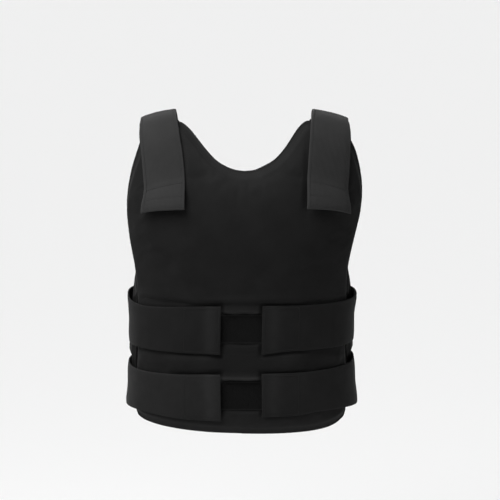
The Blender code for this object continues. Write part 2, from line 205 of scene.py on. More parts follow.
@dataclass
class TorsoForm:
    """The body inside the vest, which every cloth is laid on."""

    sections: tuple[Section, ...] = (
        Section(-0.560, 0.182, 0.112, 0.104, -0.0030),
        Section(-0.513, 0.181, 0.112, 0.104, -0.0030),
        Section(-0.490, 0.179, 0.112, 0.104, -0.0030),
        Section(-0.450, 0.177, 0.111, 0.102, -0.0035),
        Section(-0.400, 0.175, 0.109, 0.099, -0.0040),
        Section(-0.350, 0.174, 0.107, 0.097, -0.0035),
        Section(-0.300, 0.175, 0.108, 0.098, -0.0025),
        Section(-0.250, 0.182, 0.111, 0.101, -0.0030),
        Section(-0.200, 0.191, 0.114, 0.104, -0.0020),
        Section(-0.150, 0.197, 0.110, 0.103, 0.0010),
        Section(-0.100, 0.200, 0.098, 0.096, 0.0025),
        Section(-0.050, 0.198, 0.078, 0.079, 0.0020),
        Section(-0.030, 0.186, 0.064, 0.066, 0.0010),
        Section(-0.022, 0.172, 0.055, 0.057, 0.0005),
        Section(-0.014, 0.149, 0.044, 0.046, 0.0000),
        Section(-0.006, 0.114, 0.031, 0.033, 0.0000),
        Section(0.010, 0.070, 0.014, 0.016, 0.0000),
    )
    # A section is round at its corners: x and y, as shares of its half sizes, to this power add up to 1.
    power: float = 2.6
    # The heights between which the body's outline from the front is the crest of the shoulders.
    shoulder_line: tuple[float, float] = (-0.050, 0.010)
    # How far down from the crest the shoulders are worked out, and in how many steps.
    shoulder_drop: float = 0.250
    shoulder_steps: int = 400
    # The table of places on the body: the height from row to row, the points that each section is
    # drawn with, and the places in a row, evenly spaced from the front centre to the back centre.
    pitch: float = 0.0005
    angle_steps: int = 1441
    share_steps: int = 721
    # The way out of the body is worked out over this length, to either side of a place.
    step: float = 0.001
    # Out is away from a point on the body's axis this far under the place.
    middle_drop: float = 0.120

    def __post_init__(self) -> None:
        """Works each level section out once, so that places on the body are read from a table."""
        self.heights = np.arange(self.sections[0].height, self.sections[-1].height + self.pitch, self.pitch)
        self.half_width = column(self.sections, "half_width", self.heights)
        self.front_depth = column(self.sections, "front_depth", self.heights)
        self.back_depth = column(self.sections, "back_depth", self.heights)
        self.lean = column(self.sections, "lean", self.heights)
        angle = np.linspace(0.0, np.pi, self.angle_steps)
        across = np.abs(np.sin(angle)) ** (2 / self.power)
        along = np.abs(np.cos(angle)) ** (2 / self.power)
        x = self.half_width[:, None] * across
        depth = np.where(angle < np.pi / 2, -self.front_depth[:, None], self.back_depth[:, None])
        y = depth * along
        lengths = np.zeros_like(x)
        lengths[:, 1:] = np.cumsum(np.hypot(np.diff(x, axis=1), np.diff(y, axis=1)), axis=1)
        self.half_girth = lengths[:, -1]
        shares = np.linspace(0.0, 1.0, self.share_steps)
        self.table = np.empty((len(self.heights), self.share_steps, 2))
        for row, length in enumerate(self.half_girth):
            self.table[row, :, 0] = np.interp(shares * length, lengths[row], x[row])
            self.table[row, :, 1] = np.interp(shares * length, lengths[row], y[row])

    def girth_at(self, height: Array) -> Array:
        """Length round the body from the front centre to the back centre."""
        return np.interp(height, self.heights, self.half_girth)

    def front(self, reach: Array, height: Array) -> Array:
        """Places on the body by their reach from the front centre line.

        Args:
            reach: Lengths round the body, positive to the wearer's left.
            height: Heights, of the same shape.

        Returns:
            Points, in one more axis of three.
        """
        row = np.clip((height - self.heights[0]) / self.pitch, 0, len(self.heights) - FROM_TABLE_END)
        place = np.abs(reach) / self.girth_at(height) * (self.share_steps - 1)
        place = np.clip(place, 0, self.share_steps - FROM_TABLE_END)
        i = row.astype(int)
        j = place.astype(int)
        down = (row - i)[..., None]
        over = (place - j)[..., None]
        lower = (1 - over) * self.table[i, j] + over * self.table[i, j + 1]
        upper = (1 - over) * self.table[i + 1, j] + over * self.table[i + 1, j + 1]
        found = (1 - down) * lower + down * upper
        x = found[..., 0] * np.where(reach < 0, -1.0, 1.0) + np.interp(height, self.heights, self.lean)
        return np.stack([x, found[..., 1], height], axis=-1)

    def back(self, reach: Array, height: Array) -> Array:
        """Places on the body by their reach from the back centre line, positive to the wearer's left."""
        side = np.where(reach >= 0, 1.0, -1.0)
        return self.front(side * (self.girth_at(height) - np.abs(reach)), height)

    def shoulder(self, across: Array, along: Array) -> Array:
        """Places on the body over a shoulder.

        Args:
            across: Distances from the middle plane, with their sign.
            along: Lengths from the shoulder's top, positive towards the back.

        Returns:
            Points, in one more axis of three.
        """
        crest_heights = np.linspace(*self.shoulder_line, self.shoulder_steps)
        crest_widths = np.interp(crest_heights, self.heights, self.half_width)
        drop = self.shoulder_drop * np.linspace(0.0, 1.0, self.shoulder_steps) ** 3
        flat_across = np.ravel(across)
        flat_along = np.ravel(along)
        crest = np.interp(-np.abs(flat_across), -crest_widths, crest_heights)
        heights = crest[:, None] - drop
        width = np.interp(heights, self.heights, self.half_width)
        share = np.clip(1 - (np.abs(flat_across)[:, None] / width) ** self.power, 0.0, 1.0)
        share[:, 0] = 0.0
        front = np.interp(heights, self.heights, self.front_depth)
        back = np.interp(heights, self.heights, self.back_depth)
        depth = np.where(flat_along[:, None] < 0, front, back) * share ** (1 / self.power)
        lengths = np.zeros_like(depth)
        lengths[:, 1:] = np.cumsum(np.hypot(np.diff(depth, axis=1), np.diff(heights, axis=1)), axis=1)
        points = np.empty((len(flat_across), 3))
        for i, (x, distance) in enumerate(zip(flat_across, flat_along)):
            points[i, 0] = x
            points[i, 1] = np.interp(abs(distance), lengths[i], depth[i]) * (-1 if distance < 0 else 1)
            points[i, 2] = np.interp(abs(distance), lengths[i], heights[i])
        points[:, 0] += np.interp(points[:, 2], self.heights, self.lean)
        return points.reshape(*np.shape(across), 3)

    def ground(self, surface: SurfaceMap, first: Array, second: Array) -> tuple[Array, Array]:
        """Finds the points of a surface and which way is out of the body there.

        Args:
            surface: front, back or shoulder.
            first: Its first coordinate.
            second: Its second coordinate.

        Returns:
            The points and the unit directions out of the body.
        """
        points = surface(first, second)
        along_first = surface(first + self.step, second) - surface(first - self.step, second)
        along_second = surface(first, second + self.step) - surface(first, second - self.step)
        out = np.cross(along_first, along_second)
        out /= np.linalg.norm(out, axis=-1, keepdims=True)
        middle = np.zeros_like(points)
        middle[..., 2] = points[..., 2] - self.middle_drop
        towards = np.sum(out * (points - middle), axis=-1, keepdims=True)
        return points, out * np.where(towards < 0, -1.0, 1.0)


def linear(code: str) -> tuple[float, float, float, float]:
    """Turns an sRGB hex colour into linear light.

    Args:
        code: Six hex digits after a hash.

    Returns:
        Red, green, blue and an alpha of 1.
    """
    parts = [int(code[i : i + 2], 16) / 255 for i in (1, 3, 5)]
    red, green, blue = (p / 12.92 if p <= 0.04045 else ((p + 0.055) / 1.055) ** 2.4 for p in parts)
    return red, green, blue, 1.0


def add_node(material: bpy.types.ID, kind: str, settings: dict[str, Any], inputs: dict[Any, Any]) -> Any:
    """Adds a node with its settings and links.

    Args:
        material: The material, or the world, that gets it.
        kind: The node's type.
        settings: Values of its properties.
        inputs: Values, outputs to link, or nodes whose first output is linked, by input name or number.

    Returns:
        The new node.
    """
    node = material.node_tree.nodes.new(kind)
    for name, value in settings.items():
        setattr(node, name, value)
    for name, value in inputs.items():
        if isinstance(value, bpy.types.Node):
            value = value.outputs[0]
        if isinstance(value, bpy.types.NodeSocket):
            material.node_tree.links.new(value, node.inputs[name])
        else:
            node.inputs[name].default_value = value
    return node


@dataclass(frozen=True)
class Finish:
    """What the cloths and the thread share: a Principled surface with colour and relief from nodes."""

    name: str
    dark: str
    light: str
    # The colour that wear and painted light mix towards: worn edges, and painted light and painted
    # highlights where light falls.
    worn_and_lit: str
    roughness: float
    specular: float
    sheen: float
    sheen_roughness: float
    # Wear and painted light come in patches of this size, in metres.
    lighter_patch: float = 0.018

    def relief_height(self, material: bpy.types.Material, place: Any) -> tuple[Any, Any]:
        """Draws the yarns.

        Args:
            material: The material that the nodes go in.
            place: An output with the place on the cloth, in metres.

        Returns:
            Outputs with the height of the surface, in metres, and how light it is, from 0 to 1.
        """
        raise NotImplementedError

    def build(self) -> bpy.types.Material:
        """Makes the material, once.

        Returns:
            The material, from the file's own if it is there.
        """
        known = bpy.data.materials.get(self.name)
        if known:
            return known
        made = bpy.data.materials.new(self.name)
        made.use_nodes = True
        made.node_tree.nodes.clear()
        place = add_node(made, "ShaderNodeUVMap", {"uv_map": "cut"}, {}).outputs["UV"]
        height, light = self.relief_height(made, place)
        # The attribute holds real wear along edges, and painted light: lighter tone and painted highlights
        # where light falls.
        wear_and_painted_light = add_node(made, "ShaderNodeAttribute", {"attribute_name": "wear_and_painted_light"}, {}).outputs["Fac"]
        patches = {"Vector": place, "Scale": 1 / self.lighter_patch, "Detail": 3.0, **ROUGH}
        # The noise lies about 0.5, so with as much added the wear and painted light are, on the whole, as
        # given.
        uneven = add_node(made, MATH, PLUS, {0: add_node(made, NOISE, {}, patches), 1: 0.5})
        rubbed_and_lit = add_node(made, MATH, TIMES, {0: wear_and_painted_light, 1: uneven}).outputs[0]
        colour = linear(self.dark)
        for share, code in ((light, self.light), (rubbed_and_lit, self.worn_and_lit)):
            inputs = {"Factor": share, "A": colour, "B": linear(code)}
            colour = add_node(made, "ShaderNodeMix", {"data_type": "RGBA"}, inputs).outputs["Result"]
        bump = {"Height": height, "Distance": 1.0, "Strength": 1.0}
        inputs = {
            "Base Color": colour,
            "Normal": add_node(made, "ShaderNodeBump", {}, bump).outputs["Normal"],
            "Roughness": self.roughness,
            "Specular IOR Level": self.specular,
            "Sheen Weight": self.sheen,
            "Sheen Roughness": self.sheen_roughness,
        }
        shader = add_node(made, "ShaderNodeBsdfPrincipled", {}, inputs)
        add_node(made, "ShaderNodeOutputMaterial", {}, {"Surface": shader.outputs["BSDF"]})
        return made


def wave(material: bpy.types.Material, value: Any, spacing: float) -> Any:
    """Draws an even wave along a coordinate.

    Args:
        material: The material that the nodes go in.
        value: An output with a length in metres.
        spacing: The length of one wave, in metres.

    Returns:
        A node that gives values from -1 to 1.
    """
    turned = add_node(material, MATH, TIMES, {0: value, 1: 2 * math.pi / spacing})
    return add_node(material, MATH, {"operation": "SINE"}, {0: turned})


@dataclass(frozen=True)
class WovenNylon(Finish):
    """Textured nylon pack cloth, plain woven and dyed black: dull, with a dry grain and a faint bloom."""

    name: str = "woven_nylon_pack_cloth"
    dark: str = "#101010"
    light: str = "#1a1a1a"
    worn_and_lit: str = "#323232"
    roughness: float = 0.85
    specular: float = 0.08
    sheen: float = 0.02
    sheen_roughness: float = 0.45
    # The yarns lie 0.6 mm apart; they are drawn at twice that, or they would not show.
    yarn_spacing: float = 0.0012
    yarn_height: float = 0.00007
    # How much darker the weave's hollows are painted: painted shade following the relief.
    weave_shade_contrast: float = 0.22
    patch: float = 0.045

    def relief_height(self, material: bpy.types.Material, place: Any) -> tuple[Any, Any]:
        """Crosses warp and weft, over and under, with a slight unevenness of the yarns.

        Args:
            material: The material that the nodes go in.
            place: An output with the place on the cloth, in metres.

        Returns:
            The height of the surface, in metres, and how light it is.
        """
        parts = add_node(material, "ShaderNodeSeparateXYZ", {}, {"Vector": place}).outputs
        warp, weft = (wave(material, parts[axis], 2 * self.yarn_spacing) for axis in ("X", "Y"))
        weave = add_node(material, MATH, TIMES, {0: warp, 1: weft})
        inputs = {"Vector": place, "Scale": 1 / (3 * self.yarn_spacing), "Detail": 2.0, **ROUGH}
        yarns = add_node(material, MATH, PLUS, {0: weave, 1: add_node(material, NOISE, {}, inputs)})
        height = add_node(material, MATH, TIMES, {0: yarns, 1: self.yarn_height})
        inputs = {"Vector": place, "Scale": 1 / self.patch, "Detail": 3.0, **ROUGH}
        # Painted shade: the weave is painted darker in its hollows and lighter on its crossings.
        weave_shade = add_node(material, MATH, TIMES, {0: weave, 1: self.weave_shade_contrast})
        return height, add_node(material, MATH, PLUS, {0: weave_shade, 1: add_node(material, NOISE, {}, inputs)})


@dataclass(frozen=True)
class RibbedElastic(Finish):
    """Woven elastic webbing: cords of covered rubber along its length, bound by fine weft, matte."""

    name: str = "ribbed_elastic_webbing"
    dark: str = "#101010"
    light: str = "#1c1c1c"
    worn_and_lit: str = "#343434"
    roughness: float = 0.80
    specular: float = 0.08
    sheen: float = 0.03
    sheen_roughness: float = 0.40
    # The cords lie 1.1 mm apart; they are drawn at 1.8 mm, or they would not show.
    cord_spacing: float = 0.0018
    cord_height: float = 0.00012
    # How much darker the grooves between cords are painted: painted shade following the ribs.
    cord_shade_contrast: float = 0.18
    weft_spacing: float = 0.0011
    weft_height: float = 0.00004
    patch: float = 0.060

    def relief_height(self, material: bpy.types.Material, place: Any) -> tuple[Any, Any]:
        """Ribs along the strap, with the weft pinching them across.

        Args:
            material: The material that the nodes go in.
            place: An output with the place on the cloth, in metres.

        Returns:
            The height of the surface, in metres, and how light it is.
        """
        parts = add_node(material, "ShaderNodeSeparateXYZ", {}, {"Vector": place}).outputs
        cords = wave(material, parts["Y"], self.cord_spacing)
        ribs = add_node(material, MATH, TIMES, {0: cords, 1: self.cord_height})
        weft = wave(material, parts["X"], self.weft_spacing)
        pinch = add_node(material, MATH, TIMES, {0: weft, 1: self.weft_height})
        height = add_node(material, MATH, PLUS, {0: ribs, 1: pinch})
        inputs = {"Vector": place, "Scale": 1 / self.patch, "Detail": 3.0, **ROUGH}
        # Painted shade: the grooves between the cords are painted darker.
        cord_shade = add_node(material, MATH, TIMES, {0: cords, 1: self.cord_shade_contrast})
        return height, add_node(material, MATH, PLUS, {0: cord_shade, 1: add_node(material, NOISE, {}, inputs)})


@dataclass(frozen=True)
class ShoulderWebbing(RibbedElastic):
    """The same webbing with a brushed face, painted a tone paler: painted light, standing for the light that
    falls on the shoulders.
    """

    name: str = "brushed_shoulder_webbing"
    # Painted light: the waist webbing's colours, made paler.
    dark: str = "#202020"
    light: str = "#303030"
    worn_and_lit: str = "#464646"
    roughness: float = 0.85
    sheen: float = 0.05


@dataclass(frozen=True)
class BrushedLoop(Finish):
    """Brushed nylon loop tape: a deep pile that swallows light, so it reads as the darkest cloth."""

    name: str = "brushed_loop_pile"
    dark: str = "#070707"
    light: str = "#111111"
    worn_and_lit: str = "#1c1c1c"
    roughness: float = 0.97
    specular: float = 0.03
    sheen: float = 0.02
    sheen_roughness: float = 0.70
    loop_size: float = 0.0016
    loop_height: float = 0.0006

    def relief_height(self, material: bpy.types.Material, place: Any) -> tuple[Any, Any]:
        """Draws tufts of tangled loops, gathered in clumps.

        Args:
            material: The material that the nodes go in.
            place: An output with the place on the cloth, in metres.

        Returns:
            The height of the surface, in metres, and how light it is.
        """
        inputs = {"Vector": place, "Scale": 1 / self.loop_size, "Detail": 3.0, **ROUGH}
        tufts = add_node(material, NOISE, {}, inputs)
        inputs = {**inputs, "Scale": 1 / (5 * self.loop_size), "Detail": 2.0}
        pile = add_node(material, MATH, PLUS, {0: tufts, 1: add_node(material, NOISE, {}, inputs)})
        # The tufts that stand highest are painted lighter: painted shade in the pile's hollows.
        return add_node(material, MATH, TIMES, {0: pile, 1: self.loop_height}), tufts


@dataclass(frozen=True)
class BondedThread(Finish):
    """Bonded nylon sewing thread: twisted and waxed, so each stitch catches a small light."""

    name: str = "bonded_nylon_thread"
    dark: str = "#161616"
    light: str = "#242424"
    worn_and_lit: str = "#343434"
    roughness: float = 0.60
    specular: float = 0.20
    sheen: float = 0.0
    sheen_roughness: float = 0.50
    ply_spacing: float = 0.0007
    ply_height: float = 0.00004
    # How much darker the grooves between plies are painted: painted shade following their twist.
    ply_shade_contrast: float = 0.5

    def relief_height(self, material: bpy.types.Material, place: Any) -> tuple[Any, Any]:
        """Draws plies that run slantwise round the thread.

        Args:
            material: The material that the nodes go in.
            place: An output with the place on the cloth, in metres.

        Returns:
            The height of the surface, in metres, and how light it is.
        """
        parts = add_node(material, "ShaderNodeSeparateXYZ", {}, {"Vector": place}).outputs
        slant = add_node(material, MATH, PLUS, {0: parts["X"], 1: parts["Y"]})
        plies = wave(material, slant, self.ply_spacing)
        height = add_node(material, MATH, TIMES, {0: plies, 1: self.ply_height})
        # Painted shade: the plies' grooves are painted darker.
        return height, add_node(material, MATH, TIMES, {0: plies, 1: self.ply_shade_contrast})


def grid_object(
    name: str, layers: list[Array], places: Array, out: Array, wear_and_painted_light: Array, finish: Finish
) -> bpy.types.Object:
    """Makes a cloth object from one grid of points, or from two that share their border.

    Args:
        name: The object's name.
        layers: The outer grid of points, and the inner one if the cloth is a closed wall.
        places: Where each point lies on the flat cloth, in metres.
        out: The direction out of the body at each point.
        wear_and_painted_light: How much lighter the outer side is painted at each point, for wear and for
            painted light, from 0 to 1.
        finish: The cloth's finish.

    Returns:
        The object, smooth and facing outwards, with its flat places as UV map and its wear and painted light
        as attribute.
    """
    rows, columns = places.shape[:2]
    outer = np.arange(rows * columns).reshape(rows, columns)
    normal = np.cross(layers[0][1, 2] - layers[0][1, 1], layers[0][2, 1] - layers[0][1, 1])
    turned = normal @ out[1, 1] < 0
    points = layers[0].reshape(-1, 3)
    flat = places.reshape(-1, 2)
    worn_and_lit = np.zeros(rows * columns + (len(layers) - 1) * (rows - 2) * (columns - 2), dtype=np.float32)
    worn_and_lit[: rows * columns] = wear_and_painted_light.ravel()
    sheets = [(outer, turned)]
    if len(layers) == 2:
        inner = outer.copy()
        within = (rows - 2, columns - 2)
        inner[1:-1, 1:-1] = rows * columns + np.arange(within[0] * within[1]).reshape(within)
        points = np.concatenate([points, layers[1][1:-1, 1:-1].reshape(-1, 3)])
        flat = np.concatenate([flat, places[1:-1, 1:-1].reshape(-1, 2)])
        sheets.append((inner, not turned))
    faces = []
    for corners, backwards in sheets:
        quads = np.stack([corners[:-1, :-1], corners[:-1, 1:], corners[1:, 1:], corners[1:, :-1]], axis=-1)
        quads = quads.reshape(-1, 4)
        faces.append(quads[:, ::-1] if backwards else quads)
    made = mesh_object(name, points, np.concatenate(faces), flat, finish)
    made.data.attributes.new("wear_and_painted_light", "FLOAT", "POINT").data.foreach_set("value", worn_and_lit)
    return made


def mesh_object(name: str, points: Array, faces: Array, flat: Array, finish: Finish) -> bpy.types.Object:
    """Makes a smooth object from arrays.

    Args:
        name: The object's name.
        points: Its points.
        faces: The points of each face, all with as many corners.
        flat: The UV place of each point, in metres.
        finish: Its finish.

    Returns:
        The object, in the scene.
    """
    mesh = bpy.data.meshes.new(name)
    mesh.from_pydata(points.tolist(), [], faces.tolist())
    layer = mesh.uv_layers.new(name="cut")
    corners = np.empty(len(mesh.loops), dtype=np.int32)
    mesh.loops.foreach_get("vertex_index", corners)
    layer.data.foreach_set("uv", flat[corners].astype(np.float32).ravel())
    mesh.shade_smooth()
    mesh.materials.append(finish.build())
    made = bpy.data.objects.new(name, mesh)
    bpy.context.scene.collection.objects.link(made)
    return made


def lay(piece: bpy.types.Object, slot: str, *nodes: str) -> bpy.types.Object:
    """Lets a finished piece ride on the vest's body and stand for its solids.

    Args:
        piece: The piece, in its place.
        slot: The record's material slot; not used.
        nodes: The CAD nodes that it stands for.

    Returns:
        The piece.
    """
    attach(piece, BODY)
    if nodes:
        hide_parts(*nodes)
    triangles = sum(len(face.vertices) - 2 for face in piece.data.polygons)
    log.info("%s: %d triangles", piece.name, triangles)
    return piece


def resampled(line: Array, step: float, closed: bool = False) -> Array:
    """Spaces the points of a line evenly.

    Args:
        line: The line's points, whose columns past the third are values carried along.
        step: The distance wanted between them.
        closed: Whether the line runs back to its start.

    Returns:
        The points; a closed line's last one is a step before its first.
    """
    if closed:
        line = np.concatenate([line, line[:1]])
    lengths = np.concatenate([[0.0], np.cumsum(np.linalg.norm(np.diff(line[:, :3], axis=0), axis=1))])
    count = max(2, round(lengths[-1] / step))
    at = np.linspace(0.0, lengths[-1], count + 1)
    if closed:
        at = at[:-1]
    return np.stack([np.interp(at, lengths, line[:, axis]) for axis in range(line.shape[1])], axis=1)


class SewnLine(NamedTuple):
    """A line of stitches: the points that it follows, which way is out of the cloth, and if it closes."""

    points: Array
    out: Array
    closed: bool = False


@dataclass
class Lockstitch:
    """Rows of lockstitch in real thread, each stitch sunk a little at both ends."""

    length: float = 0.0031
    gap: float = 0.0009
    radius: float = 0.00042
    proud: float = 0.00012
    dip: float = 0.00035
    sides: int = 5
    rings: int = 3
    finish: Finish = field(default_factory=BondedThread)

    def pattern(self) -> tuple[Array, Array]:
        """Models one stitch along X: a thread that dives into the cloth at both ends.

        Returns:
            Its points and its triangles.
        """
        bpy.ops.object.select_all(action="DESELECT")
        bpy.ops.mesh.primitive_uv_sphere_add(segments=self.sides, ring_count=self.rings, radius=1.0)
        ball = bpy.context.active_object
        bpy.ops.object.mode_set(mode="EDIT")
        bpy.ops.mesh.select_all(action="SELECT")
        bpy.ops.mesh.quads_convert_to_tris()
        bpy.ops.transform.rotate(
            value=math.pi / 2, orient_axis="Y", center_override=(0.0, 0.0, 0.0), orient_type="GLOBAL"
        )
        bpy.ops.object.mode_set(mode="OBJECT")
        points = np.array([vertex.co for vertex in ball.data.vertices])
        faces = np.array([face.vertices for face in ball.data.polygons])
        mesh = ball.data
        bpy.data.objects.remove(ball)
        bpy.data.meshes.remove(mesh)
        height = points[:, 2] * self.radius + self.proud - self.dip * points[:, 0] ** 2
        return np.stack([points[:, 0] * self.length / 2, points[:, 1] * self.radius, height], axis=1), faces

    def sew(self, name: str, lines: list[SewnLine], slot: str) -> bpy.types.Object:
        """Sews rows of stitches as one piece.

        Args:
            name: The piece's name.
            lines: The rows.
            slot: The record's material slot of the cloth that they are in.

        Returns:
            The piece, riding on the vest.
        """
        points, faces = self.pattern()
        made_points = []
        made_flat = []
        for line in lines:
            both = np.concatenate([line.points, line.out], axis=1)
            both = resampled(both, self.length + self.gap, line.closed)
            place = both[:, :3]
            out = both[:, 3:] / np.linalg.norm(both[:, 3:], axis=1)[:, None]
            if line.closed:
                ahead = np.roll(place, -1, axis=0) - np.roll(place, 1, axis=0)
            else:
                ahead = np.gradient(place, axis=0)
            ahead -= out * np.sum(ahead * out, axis=1)[:, None]
            ahead /= np.linalg.norm(ahead, axis=1)[:, None]
            aside = np.cross(out, ahead)
            axes = np.stack([ahead, aside, out], axis=1)
            made_points.append((place[:, None] + points @ axes).reshape(-1, 3))
            made_flat.append(np.tile(points[:, :2], (len(place), 1)))
        count = sum(len(made) for made in made_points) // len(points)
        shifts = np.arange(count) * len(points)
        every = (faces[None] + shifts[:, None, None]).reshape(-1, 3)
        piece = mesh_object(name, np.concatenate(made_points), every, np.concatenate(made_flat), self.finish)
        return lay(piece, slot)


def distance_to(line: Array, points: Array) -> Array:
    """Distances from points of the plane to a closed line.

    Args:
        line: The line's points.
        points: The points, in any shape with a last axis of two.

    Returns:
        Their distances from the line's nearest stretch.
    """
    run = np.roll(line, -1, axis=0) - line
    square = np.maximum(np.sum(run * run, axis=1), SMALLEST_SQUARE)
    flat = points.reshape(-1, 2)
    nearest = np.empty(len(flat))
    for first in range(0, len(flat), POINTS_AT_ONCE):
        part = flat[first : first + POINTS_AT_ONCE, None]
        share = np.clip(np.sum((part - line) * run, axis=2) / square, 0.0, 1.0)
        gaps = np.linalg.norm(part - line - share[..., None] * run, axis=2)
        nearest[first : first + POINTS_AT_ONCE] = np.min(gaps, axis=1)
    return nearest.reshape(points.shape[:-1])


class Fold(NamedTuple):
    """A soft fold of a panel's cover: its ends, as reach and height, its half width and its height."""

    start: tuple[float, float]
    end: tuple[float, float]
    width: float
    rise: float


class Seam(NamedTuple):
    """A sewn line level round a panel: its height and reach, how far it moves the cover, its half width."""

    height: float
    reach: float
    depth: float
    width: float


class Ledge(NamedTuple):
    """Cloth that slopes out from its top and ends in a step over a tape, within a reach; the step carries a
    painted highlight.
    """

    top: float
    step: float
    reach: float
    rise: float
    # How strong the painted highlight along the step is.
    wear_and_painted_light: float


class Bulge(NamedTuple):
    """A place where the cover stands out: its reach and height, its half sizes and its height."""

    reach: float
    height: float
    half_reach: float
    half_height: float
    rise: float


# The cover's cloth in the simulation: light and slack, so that it swells over the pack.
COVER_CLOTH = {
    "quality": 6,
    "mass": 0.12,
    "tension_stiffness": 12,
    "compression_stiffness": 12,
    "shear_stiffness": 4,
    "bending_stiffness": 0.4,
    "pin_stiffness": 1.0,
    "use_pressure": True,
    "uniform_pressure_force": 1.0,
    "shrink_min": -0.02,
}


@dataclass(frozen=True)
class CoverWearAndLight:
    """Where a panel's cover is painted lighter, and how much: worn along its edges and on its piping, and
    most near the neck and the hem, which is painted light, with painted highlights along its ledges.
    """

    even: float = 0.06
    # Painted light: near the neckline it stands for overhead light, near the hem for light bounced up from
    # the floor.
    most: float = 0.30
    width: float = 0.030
    neck_reach: float = 0.100
    neck_heights: tuple[float, float] = (-0.200, -0.120)
    hem_depths: tuple[float, float] = (0.440, 0.500)
    piping: float = 0.25
    piping_width: float = 0.0016
    # The painted highlight along a ledge's step: how far over the step it lies, and its width.
    ledge_rise: float = 0.0015
    ledge_width: float = 0.0032


@dataclass
class PaddedPanel:
    """A carrier panel: woven cover over a soft pack, closed by a flat sewn flange all round."""

    name: str
    node: str
    surface: SurfaceMap
    form: TorsoForm
    top: tuple[Edge, ...]
    side: tuple[SideEdge, ...]
    hem: tuple[Edge, ...]
    # Where the outline turns from its top into its side, and from its side into its hem, as a share
    # of the last reach.
    tab_share: float
    hem_share: float
    seed: int
    folds: tuple[Fold, ...] = ()
    seams: tuple[Seam, ...] = ()
    ledges: tuple[Ledge, ...] = ()
    bulges: tuple[Bulge, ...] = ()
    pressed: Optional[Callable[[TorsoForm, Array, Array], Array]] = None
    pack_thickness: float = 0.0094
    flange_thickness: float = 0.0032
    flange_width: float = 0.0040
    pack_edge: float = 0.0120
    edge_row: float = 0.0036
    pack_row: float = 0.0105
    groove: float = 0.0005
    groove_width: float = 0.0014
    ledge_drop: float = 0.0016
    seam_fade: float = 0.012
    # A fold runs out towards its ends, from and to these shares of its length.
    fold_run: tuple[float, float] = (0.04, 0.96)
    crinkle: float = 0.00045
    crinkle_cells: tuple[int, int] = (26, 22)
    press_depth: float = 0.0002
    worn_and_lit: CoverWearAndLight = CoverWearAndLight()
    # The panel's rough width and height, from which the grids' cells are counted.
    extent: tuple[float, float] = (0.43, 0.47)
    outline_points: int = 1601
    side_points: int = 400
    outline_step: float = 0.001
    row_step: float = 0.0015
    # A tight corner pushes the points of an inner row too near the outline; they are left out.
    kept_share: float = 0.97
    seam_points: int = 80
    fine_rows: tuple[float, ...] = (
        0.0, 0.0004, 0.0010, 0.0018, 0.0030, 0.0042, 0.0054, 0.0070,
        0.0090, 0.0110, 0.0128, 0.0146, 0.0166, 0.0188, 0.0212, 0.0240,
    )
    cell: float = 0.0029
    cover_cell: float = 0.0052
    swell_in: float = 0.0010
    swell_out: float = 0.0042
    frames: int = 20
    finish: Finish = field(default_factory=WovenNylon)
    stitch: Lockstitch = field(default_factory=Lockstitch)

    def by_side(self, rows: tuple, place: Array, share: Array) -> Array:
        """Reads an outline's table on the wearer's right where the share is negative, else on the left."""
        return np.where(share < 0, column(rows, "right", place), column(rows, "left", place))

    def boundary(self) -> dict[str, Array]:
        """Draws the panel's outline in the plane of reach and height.

        Returns:
            Its bottom and top from right to left, and its sides upwards, each densely.
        """
        shares = np.linspace(-1.0, 1.0, self.outline_points)
        top_heights = self.by_side(self.top, np.abs(shares) * self.top[-1].reach, shares)
        hem_heights = self.by_side(self.hem, np.abs(shares) * self.hem[-1].reach, shares)
        top_line = np.stack([shares * self.by_side(self.side, top_heights, shares), top_heights], axis=1)
        hem_line = np.stack([shares * self.by_side(self.side, hem_heights, shares), hem_heights], axis=1)
        lines = {
            "top": top_line[np.abs(shares) <= self.tab_share],
            "bottom": hem_line[np.abs(shares) <= self.hem_share],
        }
        for side in Side:
            beyond = shares * side.value
            corner = 0 if side is Side.RIGHT else -1
            heights = np.linspace(hem_line[corner, 1], 0.0, self.side_points)
            heights = heights[heights < top_line[corner, 1]]
            reach = side.value * column(self.side, side.label, heights)
            edge = np.stack([reach, heights], axis=1)
            hem_part = hem_line[beyond >= self.hem_share]
            top_part = top_line[beyond >= self.tab_share]
            if side is Side.RIGHT:
                hem_part = hem_part[::-1]
            else:
                top_part = top_part[::-1]
            lines[side.label] = np.concatenate([hem_part, edge, top_part])
        return {name: resampled(line, self.outline_step) for name, line in lines.items()}

    def patch(self, across: Array, up: Array) -> Array:
        """Fills the outline with a smooth grid whose lines follow its four sides.

        Args:
            across: Shares from the wearer's right to the left.
            up: Shares from the hem to the top.

        Returns:
            Reach and height of each grid point, rows upwards.
        """
        lines = self.boundary()
        read = {}
        for name, line in lines.items():
            lengths = np.concatenate([[0.0], np.cumsum(np.linalg.norm(np.diff(line, axis=0), axis=1))])
            at = (across if name in ("top", "bottom") else up) * lengths[-1]
            read[name] = np.stack([np.interp(at, lengths, line[:, axis]) for axis in (0, 1)], axis=1)
        s = across[None, :, None]
        t = up[:, None, None]
        level = (1 - t) * read["bottom"][None] + t * read["top"][None]
        upright = (1 - s) * read["right"][:, None] + s * read["left"][:, None]
        corners = (1 - t) * ((1 - s) * read["bottom"][0] + s * read["bottom"][-1])
        corners = corners + t * ((1 - s) * read["top"][0] + s * read["top"][-1])
        return level + upright - corners

    def shares(self, length: float) -> Array:
        """Spaces grid lines along a length, close together near both edges.

        Args:
            length: The length.

        Returns:
            Their places, as shares of it.
        """
        fine = np.array(self.fine_rows)
        inner = length - 2 * fine[-1]
        middle = fine[-1] + np.linspace(0.0, 1.0, round(inner / self.cell) + 1) * inner
        return np.concatenate([fine[:-1], middle, (length - fine[:-1])[::-1]]) / length

